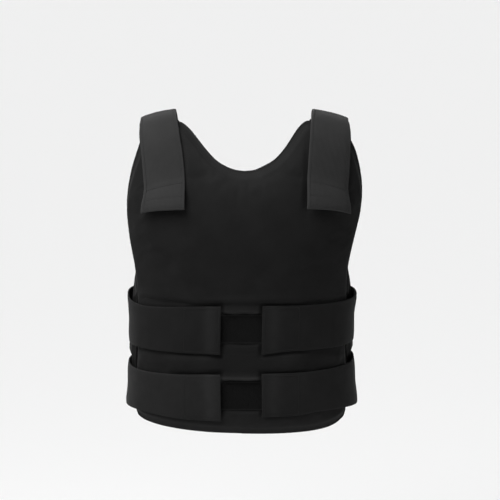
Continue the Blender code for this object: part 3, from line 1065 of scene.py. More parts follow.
    def outline(self) -> Array:
        """Joins the four sides.

        Returns:
            The whole outline as one closed line.
        """
        lines = self.boundary()
        parts = [lines["bottom"], lines["left"][1:], lines["top"][::-1][1:], lines["right"][::-1][1:-1]]
        return np.concatenate(parts)

    def cover_height(self, distance: Array) -> Array:
        """Gives the plain section of the panel, before its cover swells.

        Args:
            distance: Distances from the panel's edge.

        Returns:
            How far the cover stands from the body there.
        """
        rise = smooth_step(distance, self.flange_width, self.flange_width + self.pack_edge)
        height = self.flange_thickness + (self.pack_thickness - self.flange_thickness) * rise
        for row in (self.edge_row, self.pack_row):
            height = height - self.groove * ridge(distance, row, self.groove_width)
        return height

    def swelling(self, across: Array, up: Array) -> Array:
        """Lets the cover swell and settle as cloth sewn down along the flange.

        Args:
            across: The fine grid's shares from right to left.
            up: Its shares upwards.

        Returns:
            How far the cover moves out at each point of the fine grid.
        """
        columns, rows = (np.linspace(0.0, 1.0, round(side / self.cover_cell) + 1) for side in self.extent)
        places = self.patch(columns, rows)
        distance = distance_to(self.outline(), places)
        ground, out = self.form.ground(self.surface, places[..., 0], places[..., 1])
        start = ground + out * self.cover_height(distance)[..., None]
        cloth = grid_object(self.name + "_cover_cloth", [start], places, out, distance * 0, self.finish)
        sewn = cloth.vertex_groups.new(name="sewn")
        held = 1 - smooth_step(distance, self.pack_row, self.pack_row + self.pack_edge)
        for index, weight in enumerate(held.ravel()):
            sewn.add([index], float(weight), "REPLACE")
        physics = cloth.modifiers.new("cover", "CLOTH")
        for name, value in COVER_CLOTH.items():
            setattr(physics.settings, name, value)
        physics.settings.vertex_group_mass = sewn.name
        physics.settings.effector_weights.gravity = 0.0
        physics.collision_settings.use_collision = False
        for number in range(1, self.frames + 1):
            bpy.context.scene.frame_set(number)
        seen = cloth.evaluated_get(bpy.context.evaluated_depsgraph_get())
        moved = np.array([vertex.co for vertex in seen.data.vertices]).reshape(start.shape)
        bpy.context.scene.frame_set(1)
        mesh = cloth.data
        bpy.data.objects.remove(cloth)
        bpy.data.meshes.remove(mesh)
        swell = np.sum((moved - start) * out, axis=-1)
        log.info("%s cover swells %.1f to %.1f mm", self.name, 1000 * swell.min(), 1000 * swell.max())
        most = np.where(swell > 0, self.swell_out, self.swell_in)
        return hermite(columns, hermite(rows, most * np.tanh(swell / most), up).T, across).T

    def near(self, reach: Array, limit: float) -> Array:
        """1 within a limit of the centre line, and 0 a little beyond it."""
        return 1 - smooth_step(np.abs(reach), limit, limit + self.seam_fade)

    def folding(self, places: Array) -> Array:
        """Adds up the soft folds, bulges, ledges and seams of the cover.

        Args:
            places: Reach and height of each point.

        Returns:
            How far they move the cover out there.
        """
        reach = places[..., 0]
        height = places[..., 1]
        total = np.zeros_like(reach)
        for fold in self.folds:
            start = np.array(fold.start)
            run = np.array(fold.end) - start
            share = np.clip(((places - start) @ run) / (run @ run), 0.0, 1.0)
            aside = np.linalg.norm(places - start - share[..., None] * run, axis=-1)
            full = np.sin(np.pi * np.clip(share, *self.fold_run))
            total += fold.rise * ridge(aside, 0.0, fold.width) * full
        for bulge in self.bulges:
            across = ridge(reach, bulge.reach, bulge.half_reach)
            total += bulge.rise * across * ridge(height, bulge.height, bulge.half_height)
        for ledge in self.ledges:
            slope = smooth_step(-height, -ledge.top, -ledge.step)
            ended = smooth_step(ledge.step - height, 0.0, self.ledge_drop)
            total += ledge.rise * self.near(reach, ledge.reach) * slope * (1 - ended)
        for seam in self.seams:
            total -= seam.depth * self.near(reach, seam.reach) * ridge(height, seam.height, seam.width)
        return total

    def build(self) -> list[bpy.types.Object]:
        """Models and dresses the panel and its stitches.

        Returns:
            The padded panel and its thread.
        """
        across, up = (self.shares(side) for side in self.extent)
        places = self.patch(across, up)
        distance = distance_to(self.outline(), places)
        ground, out = self.form.ground(self.surface, places[..., 0], places[..., 1])
        inside = smooth_step(distance, self.pack_row, self.pack_row + 2 * self.pack_edge)
        soft = (self.swelling(across, up) + self.folding(places)) * inside
        soft += self.crinkle * inside * even_noise(distance.shape, self.crinkle_cells, self.seed)
        if self.pressed:
            free = 1 - self.pressed(self.form, places[..., 0], places[..., 1])
            soft = np.minimum(soft, 0.0) + np.maximum(soft, 0.0) * free - self.press_depth * (1 - free)
        height = self.cover_height(distance) + soft
        edge = rounded(distance, self.flange_thickness / 2)
        middle = self.flange_thickness / 2
        outer = ground + out * (middle + (height - middle) * edge)[..., None]
        inner = ground + out * (middle * (1 - edge))[..., None]
        panel = grid_object(self.name, [outer, inner], places, out, self.wear_and_painted_light(places, distance), self.finish)
        lay(panel, "carrier_cloth", self.node)
        return [panel, self.stitch.sew(self.name + "_thread", self.sewn_lines(), "carrier_cloth")]

    def wear_and_painted_light(self, places: Array, distance: Array) -> Array:
        """Paints the cover lighter: wear on the piped edge, painted light near the neckline and the hem, and
        painted highlights along the ledges.

        Args:
            places: Reach and height of each point.
            distance: Its distance from the panel's edge.

        Returns:
            How much lighter the cover is painted there, for wear and painted light, from 0 to 1.
        """
        reach = places[..., 0]
        height = places[..., 1]
        worn_and_lit = self.worn_and_lit
        # Painted light near the hem and the neckline, not wear.
        at_hem = smooth_step(-height, *worn_and_lit.hem_depths)
        at_neck = ridge(reach, 0.0, worn_and_lit.neck_reach) * smooth_step(height, *worn_and_lit.neck_heights)
        total = (worn_and_lit.even + worn_and_lit.most * np.maximum(at_hem, at_neck)) * np.exp(-distance / worn_and_lit.width)
        total += worn_and_lit.piping * np.exp(-distance / worn_and_lit.piping_width)
        # A painted highlight along each ledge's step.
        for ledge in self.ledges:
            crest = ridge(height, ledge.step + worn_and_lit.ledge_rise, worn_and_lit.ledge_width)
            total += ledge.wear_and_painted_light * self.near(reach, ledge.reach) * crest
        return total

    def inside_line(self, distance: float) -> Array:
        """Draws the line at a distance inside the outline, in the plane of reach and height.

        Args:
            distance: How far inside.

        Returns:
            Its points, round the panel.
        """
        line = resampled(self.outline(), self.row_step, closed=True)
        run = np.roll(line, -1, axis=0) - np.roll(line, 1, axis=0)
        run /= np.linalg.norm(run, axis=1)[:, None]
        moved = line + np.stack([-run[:, 1], run[:, 0]], axis=1) * distance
        return moved[distance_to(line, moved) > self.kept_share * distance]

    def on_cover(self, line: Array, lift: float) -> tuple[Array, Array]:
        """Points at a lift over a line of the panel, and which way is out there."""
        ground, out = self.form.ground(self.surface, line[:, 0], line[:, 1])
        return ground + out * lift, out

    def sewn_lines(self) -> list[SewnLine]:
        """Every row of stitches on the panel.

        Returns:
            The rows along the edge and the pack, inside and out, and those of the level seams.
        """
        rows = []
        for distance in (self.edge_row, self.pack_row):
            line = self.inside_line(distance)
            lift = float(self.cover_height(np.array(distance)))
            points, out = self.on_cover(line, lift)
            rows.append(SewnLine(points, out, True))
            points, out = self.on_cover(line, 0.0)
            rows.append(SewnLine(points, -out, True))
        for seam in self.seams:
            reach = np.linspace(-seam.reach, seam.reach, self.seam_points)
            line = np.stack([reach, np.full_like(reach, seam.height)], axis=1)
            points, out = self.on_cover(line, self.pack_thickness - seam.depth)
            rows.append(SewnLine(points, out))
        return rows


@dataclass
class LoopTape:
    """A strip of loop tape, sewn across the front under the ends of a pair of waist straps."""

    name: str
    node: str
    form: TorsoForm
    bottom: float
    top: float
    half_length: float = 0.095
    lift: float = 0.0098
    thickness: float = 0.0011
    selvedge: float = 0.0030
    # The smooth selvedge is painted lighter all round: a painted highlight, for the light its upper edge
    # catches.
    selvedge_painted_highlight: float = 0.5
    pile: float = 0.0009
    pile_slope: float = 0.0015
    # The pile is so high on the whole, and so much higher or lower in its tufts, as shares.
    pile_shares: tuple[float, float] = (0.55, 0.45)
    cell: float = 0.0016
    seed: int = 31
    finish: Finish = field(default_factory=BrushedLoop)
    stitch: Lockstitch = field(default_factory=Lockstitch)

    def build(self) -> list[bpy.types.Object]:
        """Models and dresses the strip and its stitches.

        Returns:
            The strip and its thread.
        """
        width = self.top - self.bottom
        reach = edge_spaced(-self.half_length, self.half_length, self.cell, self.thickness)
        height = edge_spaced(self.bottom, self.top, self.cell, self.thickness)
        places = np.stack(np.meshgrid(reach, height), axis=-1)
        ground, out = self.form.ground(self.form.front, places[..., 0], places[..., 1])
        inset = np.minimum(self.half_length - np.abs(places[..., 0]), places[..., 1] - self.bottom)
        inset = np.minimum(inset, self.top - places[..., 1])
        edge = rounded(inset, self.thickness / 2)
        fluff = smooth_step(inset, self.selvedge, self.selvedge + self.pile_slope)
        tufts = even_noise(inset.shape, (inset.shape[0] - 1, inset.shape[1] - 1), self.seed)
        raised = self.thickness + self.pile * fluff * (self.pile_shares[0] + self.pile_shares[1] * tufts)
        middle = self.lift + self.thickness / 2
        outer = ground + out * (middle + (self.lift + raised - middle) * edge)[..., None]
        inner = ground + out * (middle - self.thickness / 2 * edge)[..., None]
        # Painted highlight on the selvedge.
        wear_and_painted_light = self.selvedge_painted_highlight * (inset < self.selvedge)
        strip = grid_object(self.name, [outer, inner], places, out, wear_and_painted_light, self.finish)
        rim = np.array([[-1, -1], [1, -1], [1, 1], [-1, 1], [-1, -1]], float)
        rim *= (self.half_length - self.selvedge / 2, width / 2 - self.selvedge / 2)
        rim[:, 1] += (self.top + self.bottom) / 2
        rim = resampled(rim, SEWN_STEP)
        points, out = self.form.ground(self.form.front, rim[:, 0], rim[:, 1])
        row = SewnLine(points + out * (self.lift + self.thickness), out)
        thread = self.stitch.sew(self.name + "_thread", [row], "loop_pile")
        lay(strip, "loop_pile", self.node)
        return [strip, thread]


def edge_spaced(start: float, end: float, cell: float, thickness: float) -> Array:
    """Places from start to end in even cells, with a few close ones that round each edge.

    Args:
        start: The first place.
        end: The last one.
        cell: The distance between the inner places.
        thickness: The thickness of the wall whose edge they round.

    Returns:
        The places.
    """
    fine = np.array(EDGE_SHARES) * thickness
    count = max(2, round((end - start - 2 * fine[-1]) / cell) + 1)
    inner = np.linspace(start + fine[-1], end - fine[-1], count)
    return np.concatenate([start + fine[:-1], inner, (end - fine[:-1])[::-1]])


@dataclass(kw_only=True)
class SewnStrap:
    """What waist and shoulder straps share: a thick ribbon, laid on the body, dented where sewn, worn along
    its edges, and in places painted lighter as painted light and painted highlights.
    """

    name: str
    node: str
    form: TorsoForm
    side: Side
    seed: int
    front_end: float
    back_end: float
    # Where the flat strap begins and ends, along its length and across it.
    run: tuple[float, float] = field(init=False)
    breadth: tuple[float, float] = field(init=False)
    held: str
    thickness: float
    over_panel: float = 0.0104
    cell: float
    stitch_inset: float
    stitch_sink: float = 0.0
    # How far from its front end the strap is sewn along its edges, and its rows across, from there.
    sewn_length: float = math.inf
    cross_rows: tuple[float, ...] = ()
    dent_width: float
    dent_depth: float
    ripple: float
    ripple_cells: tuple[tuple[int, int], ...]
    ripple_from: tuple[float, float]
    ripple_floor: float = -0.0002
    # How much lighter the strap is painted: all over, as painted light; along its edges, as wear; and at a
    # place along its length, as a painted highlight.
    painted_lightness: float = 0.0
    edge_wear: float = 0.08
    edge_wear_width: float
    painted_highlight: float
    highlight_place: tuple[float, float]
    finish: Finish
    stitch: Lockstitch = field(default_factory=Lockstitch)

    def body_points(self, along: Array, aside: Array, extra: Array) -> tuple[Array, Array]:
        """Finds points on the strap.

        Args:
            along: Lengths along the flat strap.
            aside: Lengths across it.
            extra: Lifts over its underside.

        Returns:
            The points and which way is out there.
        """
        raise NotImplementedError

    def flat_rows(self) -> list[list[list[float]]]:
        """Draws the rows of stitches on the flat strap.

        Returns:
            The corners of each row, as lengths along and across.
        """
        raise NotImplementedError

    def build(self) -> list[bpy.types.Object]:
        """Models and dresses the strap and its stitches.

        Returns:
            The strap and its thread.
        """
        spaced = (edge_spaced(*ends, self.cell, self.thickness) for ends in (self.run, self.breadth))
        along, aside = np.meshgrid(*spaced)
        from_end = along - self.run[0]
        inset = np.minimum(np.minimum(from_end, self.run[1] - along), aside - self.breadth[0])
        inset = np.minimum(inset, self.breadth[1] - aside)
        dent = ridge(inset, self.stitch_inset, self.dent_width) * (from_end < self.sewn_length)
        for row in self.cross_rows:
            dent = np.maximum(dent, ridge(from_end, row, self.dent_width) * (inset > self.stitch_inset))
        ripple = np.zeros_like(along)
        for number, cells in enumerate(self.ripple_cells):
            ripple += self.ripple / 2**number * even_noise(along.shape, cells, self.seed + number)
        ripple *= smooth_step(from_end, *self.ripple_from)
        middle = self.thickness / 2 + np.maximum(ripple, self.ripple_floor)
        full = self.thickness / 2 * rounded(inset, self.thickness / 2)
        outer, out = self.body_points(along, aside, middle + full - self.dent_depth * dent)
        inner, _ = self.body_points(along, aside, middle - full)
        # Painted light all over, real wear along the edges, and a painted highlight at one place.
        wear_and_painted_light = self.painted_lightness + self.edge_wear * np.exp(-inset / self.edge_wear_width)
        wear_and_painted_light += self.painted_highlight * ridge(along, *self.highlight_place)
        places = np.stack([along, aside], axis=-1)
        strap = grid_object(self.name, [outer, inner], places, out, wear_and_painted_light, self.finish)
        thread = self.stitch.sew(self.name + "_thread", self.sewn_lines(), "strap_elastic")
        lay(strap, "strap_elastic", self.node)
        return [strap, thread]

    def sewn_lines(self) -> list[SewnLine]:
        """Lays the rows of stitches on the strap.

        Returns:
            The rows.
        """
        made = []
        for row in self.flat_rows():
            line = resampled(np.array(row), SEWN_STEP)
            lifts = np.full(len(line), self.thickness - self.stitch_sink)
            made.append(SewnLine(*self.body_points(line[:, 0], line[:, 1], lifts)))
        return made


@dataclass(kw_only=True)
class WaistStrap(SewnStrap):
    """An elastic strap round one side of the waist, sewn at the back and closed on the loop tape."""

    edges: tuple[StrapEdge, ...]
    flare_bottom: float
    flare_top: float
    end_lift: float
    front_end: float = 0.033
    back_end: float = 0.060
    held: str = "stretched"
    thickness: float = 0.0025
    over_loop: float = 0.0113
    loop_step: tuple[float, float] = (0.099, 0.119)
    flare_start: tuple[float, float] = (0.140, 0.225)
    # How far from its front end the strap comes to lie on the tape.
    free_end: float = 0.030
    # How much further out the strap's middle lies than its edges, which draw in over the padding.
    crown: float = 0.0020
    cell: float = 0.0026
    stitch_inset: float = 0.0035
    sewn_length: float = 0.058
    # The rows that hold the strap at the back, from its end.
    back_rows: tuple[float, ...] = (0.006, 0.014)
    dent_width: float = 0.0012
    dent_depth: float = 0.0003
    ripple: float = 0.0005
    ripple_cells: tuple[tuple[int, int], ...] = ((2, 14), (5, 34))
    ripple_from: tuple[float, float] = (0.010, 0.060)
    edge_wear_width: float = 0.0020
    # A painted highlight across the strap a little behind its front end, for the light that the end catches.
    painted_highlight: float = 0.14
    highlight_place: tuple[float, float] = (0.018, 0.010)
    finish: Finish = field(default_factory=RibbedElastic)

    def __post_init__(self) -> None:
        """Measures the strap: its width at its front end, and its length."""
        middle = (column(self.edges, "top", self.back_end) + column(self.edges, "bottom", self.back_end)) / 2
        self.run = (0.0, float(self.form.girth_at(middle)) - self.back_end - self.front_end)
        self.breadth = (0.0, self.edges[0].top - self.edges[0].bottom)

    def lift(self, reach: Array, height: Array, up: Array) -> Array:
        """Lifts the strap over tape and panels, flares it at the side and frees its end.

        Args:
            reach: Reaches from the front centre line.
            height: Heights.
            up: Shares of the strap's width, from its lower edge.

        Returns:
            How far the strap's underside is from the body.
        """
        back_reach = self.form.girth_at(height) - reach
        on_loops = 1 - smooth_step(reach, *self.loop_step)
        flare = self.flare_top * smooth_step(up, 0.5, 1.0) + self.flare_bottom * smooth_step(-up, -0.5, 0.0)
        at_side = smooth_step(reach, *self.flare_start) * smooth_step(back_reach, *self.flare_start)
        free = 1 - smooth_step(reach, self.front_end, self.front_end + self.free_end)
        lift = self.over_panel + (self.over_loop - self.over_panel) * on_loops + flare * at_side
        return lift + self.end_lift * free + self.crown * (1 - np.abs(2 * up - 1) ** 3)

    def body_points(self, along: Array, aside: Array, extra: Array) -> tuple[Array, Array]:
        """Finds points on the strap.

        Args:
            along: Lengths from the front end.
            aside: Lengths from the lower edge.
            extra: Lifts over its underside.

        Returns:
            The points and which way is out there.
        """
        reach = self.front_end + along
        up = aside / self.breadth[1]
        height = (1 - up) * column(self.edges, "bottom", reach.ravel()).reshape(reach.shape)
        height += up * column(self.edges, "top", reach.ravel()).reshape(reach.shape)
        ground, out = self.form.ground(self.form.front, self.side.value * reach, height)
        return ground + out * (self.lift(reach, height, up) + extra)[..., None], out

    def flat_rows(self) -> list[list[list[float]]]:
        """Draws the stitched box at the front end, and the rows that hold the strap at the back.

        Returns:
            The corners of each row, as lengths along and across.
        """
        low = self.stitch_inset
        high = self.breadth[1] - low
        box = [[low, low], [self.sewn_length, low], [self.sewn_length, high], [low, high], [low, low]]
        return [box] + [[[self.run[1] - row, low], [self.run[1] - row, high]] for row in self.back_rows]


@dataclass(kw_only=True)
class ShoulderStrap(SewnStrap):
    """A strap over one shoulder, sewn to the back and closed on the chest by its free end."""

    path: tuple[StrapPlace, ...] = (
        StrapPlace(-0.190, 0.122, 0.127, 0.0625),
        StrapPlace(-0.110, 0.129, 0.132, 0.0620),
        StrapPlace(-0.050, 0.136, 0.138, 0.0600),
        StrapPlace(0.000, 0.139, 0.141, 0.0570),
        StrapPlace(0.060, 0.139, 0.140, 0.0580),
        StrapPlace(0.170, 0.132, 0.132, 0.0600),
    )
    back_end: float = 0.150
    held: str = "draped"
    thickness: float = 0.0048
    rest_lift: float = 0.0050
    rest_half_length: float = 0.006
    tab_reach: float = 0.048
    free_length: float = 0.050
    free_lift: float = 0.0140
    # How much shorter the outer side of the free end is than the inner, for each metre of width.
    end_slant: float = 0.22
    slant_length: float = 0.060
    cell: float = 0.0024
    stitch_inset: float = 0.0045
    stitch_sink: float = 0.0003
    cross_rows: tuple[float, ...] = (0.020, 0.039)
    # The length of the crossed box of stitches that holds the strap at the back.
    back_box: float = 0.040
    dent_width: float = 0.0014
    dent_depth: float = 0.0005
    ripple: float = 0.0006
    ripple_cells: tuple[tuple[int, int], ...] = ((2, 9),)
    ripple_from: tuple[float, float] = (0.02, 0.06)
    edge_wear_width: float = 0.0022
    # The shoulder's top is painted lighter, a painted highlight where the overhead light falls on it.
    painted_highlight: float = 0.16
    highlight_place: tuple[float, float] = (0.0, 0.050)
    finish: Finish = field(default_factory=ShoulderWebbing)

    def __post_init__(self) -> None:
        """Measures the strap, whose flat width is that of its front end."""
        self.width = self.path[0].width
        self.run = (self.front_end, self.back_end)
        self.breadth = (-self.width / 2, self.width / 2)

    def lift(self, along: Array) -> Array:
        """Lays the strap low on the shoulder, lifts it over the panels' tabs and frees its end.

        Args:
            along: Lengths from the shoulder's top, positive towards the back.

        Returns:
            How far the strap's underside is from the body.
        """
        on_tab = smooth_step(np.abs(along), self.rest_half_length, self.tab_reach)
        free = smooth_step(self.front_end + self.free_length - along, 0.0, self.free_length)
        return self.rest_lift + (self.over_panel - self.rest_lift) * on_tab + self.free_lift * free

    def body_points(self, along: Array, aside: Array, extra: Array) -> tuple[Array, Array]:
        """Finds points on the strap.

        Args:
            along: Lengths from the shoulder's top, positive towards the back.
            aside: Lengths from the strap's middle, positive outwards.
            extra: Lifts over its underside.

        Returns:
            The points and which way is out there.
        """
        middle = column(self.path, self.side.label, along.ravel()).reshape(along.shape)
        width = column(self.path, "width", along.ravel()).reshape(along.shape)
        across = aside / self.width * width
        near_end = 1 - smooth_step(along, self.front_end, self.front_end + self.slant_length)
        slanted = along + self.end_slant * across * near_end
        ground, out = self.form.ground(self.form.shoulder, self.side.value * (middle + across), slanted)
        return ground + out * (self.lift(along) + extra)[..., None], out

    def flat_rows(self) -> list[list[list[float]]]:
        """Draws the row round the strap's edge, the two across near its free end and the box at the back.

        Returns:
            The corners of each row, as lengths along and across.
        """
        high = self.breadth[1] - self.stitch_inset
        front = self.front_end + self.stitch_inset
        back = self.back_end - self.stitch_inset
        box = back - self.back_box
        rows = [[[front, -high], [back, -high], [back, high], [front, high], [front, -high]]]
        rows += [[[self.front_end + row, -high], [self.front_end + row, high]] for row in self.cross_rows]
        rows += [[[box, -high], [back, high]], [[box, high], [back, -high]], [[box, -high], [box, high]]]
        return rows


FRONT_TOP = (
    Edge(0.000, -0.0840, -0.0840),
    Edge(0.016, -0.0820, -0.0820),
    Edge(0.031, -0.0765, -0.0755),
    Edge(0.046, -0.0675, -0.0675),
    Edge(0.063, -0.0505, -0.0515),
    Edge(0.077, -0.0335, -0.0340),
    Edge(0.088, -0.0220, -0.0215),
    Edge(0.098, -0.0150, -0.0140),
    Edge(0.130, -0.0170, -0.0170),
    Edge(0.155, -0.0215, -0.0215),
    Edge(0.168, -0.0280, -0.0260),
    Edge(0.176, -0.0480, -0.0380),
    Edge(0.184, -0.0660, -0.0520),
    Edge(0.192, -0.0830, -0.0720),
    Edge(0.200, -0.1020, -0.0920),
    Edge(0.207, -0.1210, -0.1130),
    Edge(0.212, -0.1400, -0.1350),
)
FRONT_SIDE = (
    SideEdge(-0.135, 0.212, 0.212),
    SideEdge(-0.165, 0.214, 0.212),
    SideEdge(-0.185, 0.210, 0.208),
    SideEdge(-0.205, 0.206, 0.203),
    SideEdge(-0.225, 0.201, 0.198),
    SideEdge(-0.250, 0.196, 0.194),
    SideEdge(-0.300, 0.196, 0.196),
    SideEdge(-0.400, 0.195, 0.195),
    SideEdge(-0.470, 0.203, 0.198),
    SideEdge(-0.520, 0.207, 0.200),
)
FRONT_HEM = (
    Edge(0.000, -0.5180, -0.5185),
    Edge(0.050, -0.5165, -0.5190),
    Edge(0.090, -0.5140, -0.5185),
    Edge(0.126, -0.5110, -0.5170),
    Edge(0.155, -0.5080, -0.5135),
    Edge(0.177, -0.5050, -0.5070),
    Edge(0.190, -0.5010, -0.5000),
    Edge(0.198, -0.4920, -0.4860),
    Edge(0.202, -0.4760, -0.4680),
)
BACK_TOP = (
    Edge(0.000, -0.118, -0.118),
    Edge(0.030, -0.114, -0.114),
    Edge(0.054, -0.102, -0.102),
    Edge(0.074, -0.084, -0.084),
    Edge(0.090, -0.063, -0.063),
    Edge(0.101, -0.042, -0.042),
    Edge(0.110, -0.022, -0.022),
    Edge(0.118, -0.017, -0.017),
    Edge(0.140, -0.019, -0.019),
    Edge(0.158, -0.024, -0.024),
    Edge(0.167, -0.034, -0.034),
    Edge(0.174, -0.066, -0.066),
    Edge(0.180, -0.115, -0.115),
    Edge(0.185, -0.170, -0.170),
    Edge(0.191, -0.220, -0.220),
    Edge(0.200, -0.257, -0.257),
    Edge(0.213, -0.281, -0.281),
    Edge(0.230, -0.295, -0.295),
    Edge(0.248, -0.300, -0.300),
)
BACK_SIDE = (
    SideEdge(-0.300, 0.248, 0.248),
    SideEdge(-0.480, 0.248, 0.248),
)
BACK_HEM = (
    Edge(0.000, -0.513, -0.513),
    Edge(0.100, -0.512, -0.512),
    Edge(0.150, -0.511, -0.508),
    Edge(0.195, -0.508, -0.501),
    Edge(0.225, -0.502, -0.492),
    Edge(0.240, -0.493, -0.482),
    Edge(0.248, -0.476, -0.466),
)


class WaistBand(NamedTuple):
    """A waist strap on each side of the wearer and the loop tape under their ends."""

    label: str
    tape_bottom: float
    tape_top: float
    right: tuple[StrapEdge, ...]
    left: tuple[StrapEdge, ...]
    flare_bottom: float
    flare_top: float


WAIST_BANDS = (
    WaistBand(
        label="upper",
        tape_bottom=-0.366,
        tape_top=-0.316,
        right=(
            StrapEdge(0.033, -0.3830, -0.3010),
            StrapEdge(0.090, -0.3830, -0.3045),
            StrapEdge(0.125, -0.3830, -0.3075),
            StrapEdge(0.165, -0.3835, -0.3105),
            StrapEdge(0.195, -0.3845, -0.3085),
            StrapEdge(0.240, -0.3850, -0.3015),
            StrapEdge(0.290, -0.3840, -0.3010),
        ),
        left=(
            StrapEdge(0.033, -0.3840, -0.3010),
            StrapEdge(0.070, -0.3800, -0.3015),
            StrapEdge(0.105, -0.3790, -0.3025),
            StrapEdge(0.165, -0.3800, -0.3030),
            StrapEdge(0.240, -0.3830, -0.3010),
        ),
        flare_bottom=0.001,
        flare_top=0.004,
    ),
    WaistBand(
        label="lower",
        tape_bottom=-0.477,
        tape_top=-0.428,
        right=(
            StrapEdge(0.033, -0.4935, -0.4160),
            StrapEdge(0.090, -0.4935, -0.4185),
            StrapEdge(0.130, -0.4910, -0.4200),
            StrapEdge(0.165, -0.4895, -0.4210),
            StrapEdge(0.240, -0.4940, -0.4200),
        ),
        left=(
            StrapEdge(0.033, -0.4875, -0.4155),
            StrapEdge(0.090, -0.4870, -0.4155),
            StrapEdge(0.125, -0.4835, -0.4150),
            StrapEdge(0.165, -0.4850, -0.4140),
            StrapEdge(0.240, -0.4935, -0.4120),
        ),
        flare_bottom=0.003,
        flare_top=0.001,
    ),
)

# How much lighter the lower straps are painted all over, as painted light, more on the wearer's right
# where the light comes from; how far the waist straps' ends stand off; and where the shoulder straps end
# in front, from the shoulder's top.
LOWER_PAINTED_LIGHT = {Side.RIGHT: 0.16, Side.LEFT: 0.06}
WAIST_END_LIFT = {Side.RIGHT: 0.0050, Side.LEFT: 0.0004}
SHOULDER_END = {Side.RIGHT: -0.187, Side.LEFT: -0.184}


def between(value: Array, low: Any, high: Any, reach: float) -> Array:
    """1 from low to high and just past them, and 0 from a short reach outside them."""
    return 1 - smooth_step(np.maximum(low - value, value - high), HELD_PAST_EDGE, reach)


@dataclass(frozen=True)
class Pressed:
    """Where straps and tapes hold a panel's cover down: how far from them the cover is free again."""

    # The places, from the front and the back centre line, from which a waist strap presses.
    strap_ends: tuple[float, float] = (0.026, 0.052)
    strap_run: float = 0.007
    strap_reach: float = 0.009
    tape_reach: float = 0.0024
    tape_half_length: float = 0.099
    # A shoulder strap's middle, and how far from it the cover is held and free.
    shoulder_middle: float = 0.135
    shoulder_half_widths: tuple[float, float] = (0.033, 0.046)
    chest_heights: tuple[float, float] = (-0.158, -0.140)
    back_heights: tuple[float, float] = (-0.160, -0.145)

    def by_waist_straps(self, form: TorsoForm, reach: Array, height: Array) -> Array:
        """Finds how firmly the waist straps press.

        Args:
            form: The torso.
            reach: Reaches from the front centre line.
            height: Heights.

        Returns:
            1 under a strap, 0 away from it.
        """
        total = np.zeros_like(reach)
        far = np.abs(reach)
        ends = np.minimum(far - self.strap_ends[0], form.girth_at(height) - far - self.strap_ends[1])
        along = smooth_step(ends, 0.0, self.strap_run)
        for band in WAIST_BANDS:
            for side, edges in ((Side.RIGHT, band.right), (Side.LEFT, band.left)):
                low = column(edges, "bottom", far.ravel()).reshape(far.shape)
                high = column(edges, "top", far.ravel()).reshape(far.shape)
                under = between(height, low, high, self.strap_reach) * along * (reach * side.value > 0)
                total = np.maximum(total, under)
        return total

    def by_shoulder_straps(self, reach: Array, height: Array, heights: tuple[float, float]) -> Array:
        """1 under a shoulder strap and above the given heights, and 0 away from it."""
        aside = np.abs(np.abs(reach) - self.shoulder_middle)
        return smooth_step(height, *heights) * (1 - smooth_step(aside, *self.shoulder_half_widths))

    def front(self, form: TorsoForm, reach: Array, height: Array) -> Array:
        """Finds how firmly straps and tapes press on the front panel.

        Args:
            form: The torso.
            reach: Reaches from the front centre line.
            height: Heights.

        Returns:
            1 under them, 0 away from them.
        """
        total = self.by_waist_straps(form, reach, height)
        for band in WAIST_BANDS:
            tape = between(height, band.tape_bottom, band.tape_top, self.tape_reach)
            total = np.maximum(total, tape * (np.abs(reach) < self.tape_half_length))
        return np.maximum(total, self.by_shoulder_straps(reach, height, self.chest_heights))

    def back(self, form: TorsoForm, reach: Array, height: Array) -> Array:
        """Finds how firmly the straps press on the back panel.

        Args:
            form: The torso.
            reach: Reaches from the back centre line.
            height: Heights.

        Returns:
            1 under them, 0 away from them.
        """
        side = np.where(reach < 0, -1.0, 1.0)
        total = self.by_waist_straps(form, side * (form.girth_at(height) - np.abs(reach)), height)
        return np.maximum(total, self.by_shoulder_straps(reach, height, self.back_heights))


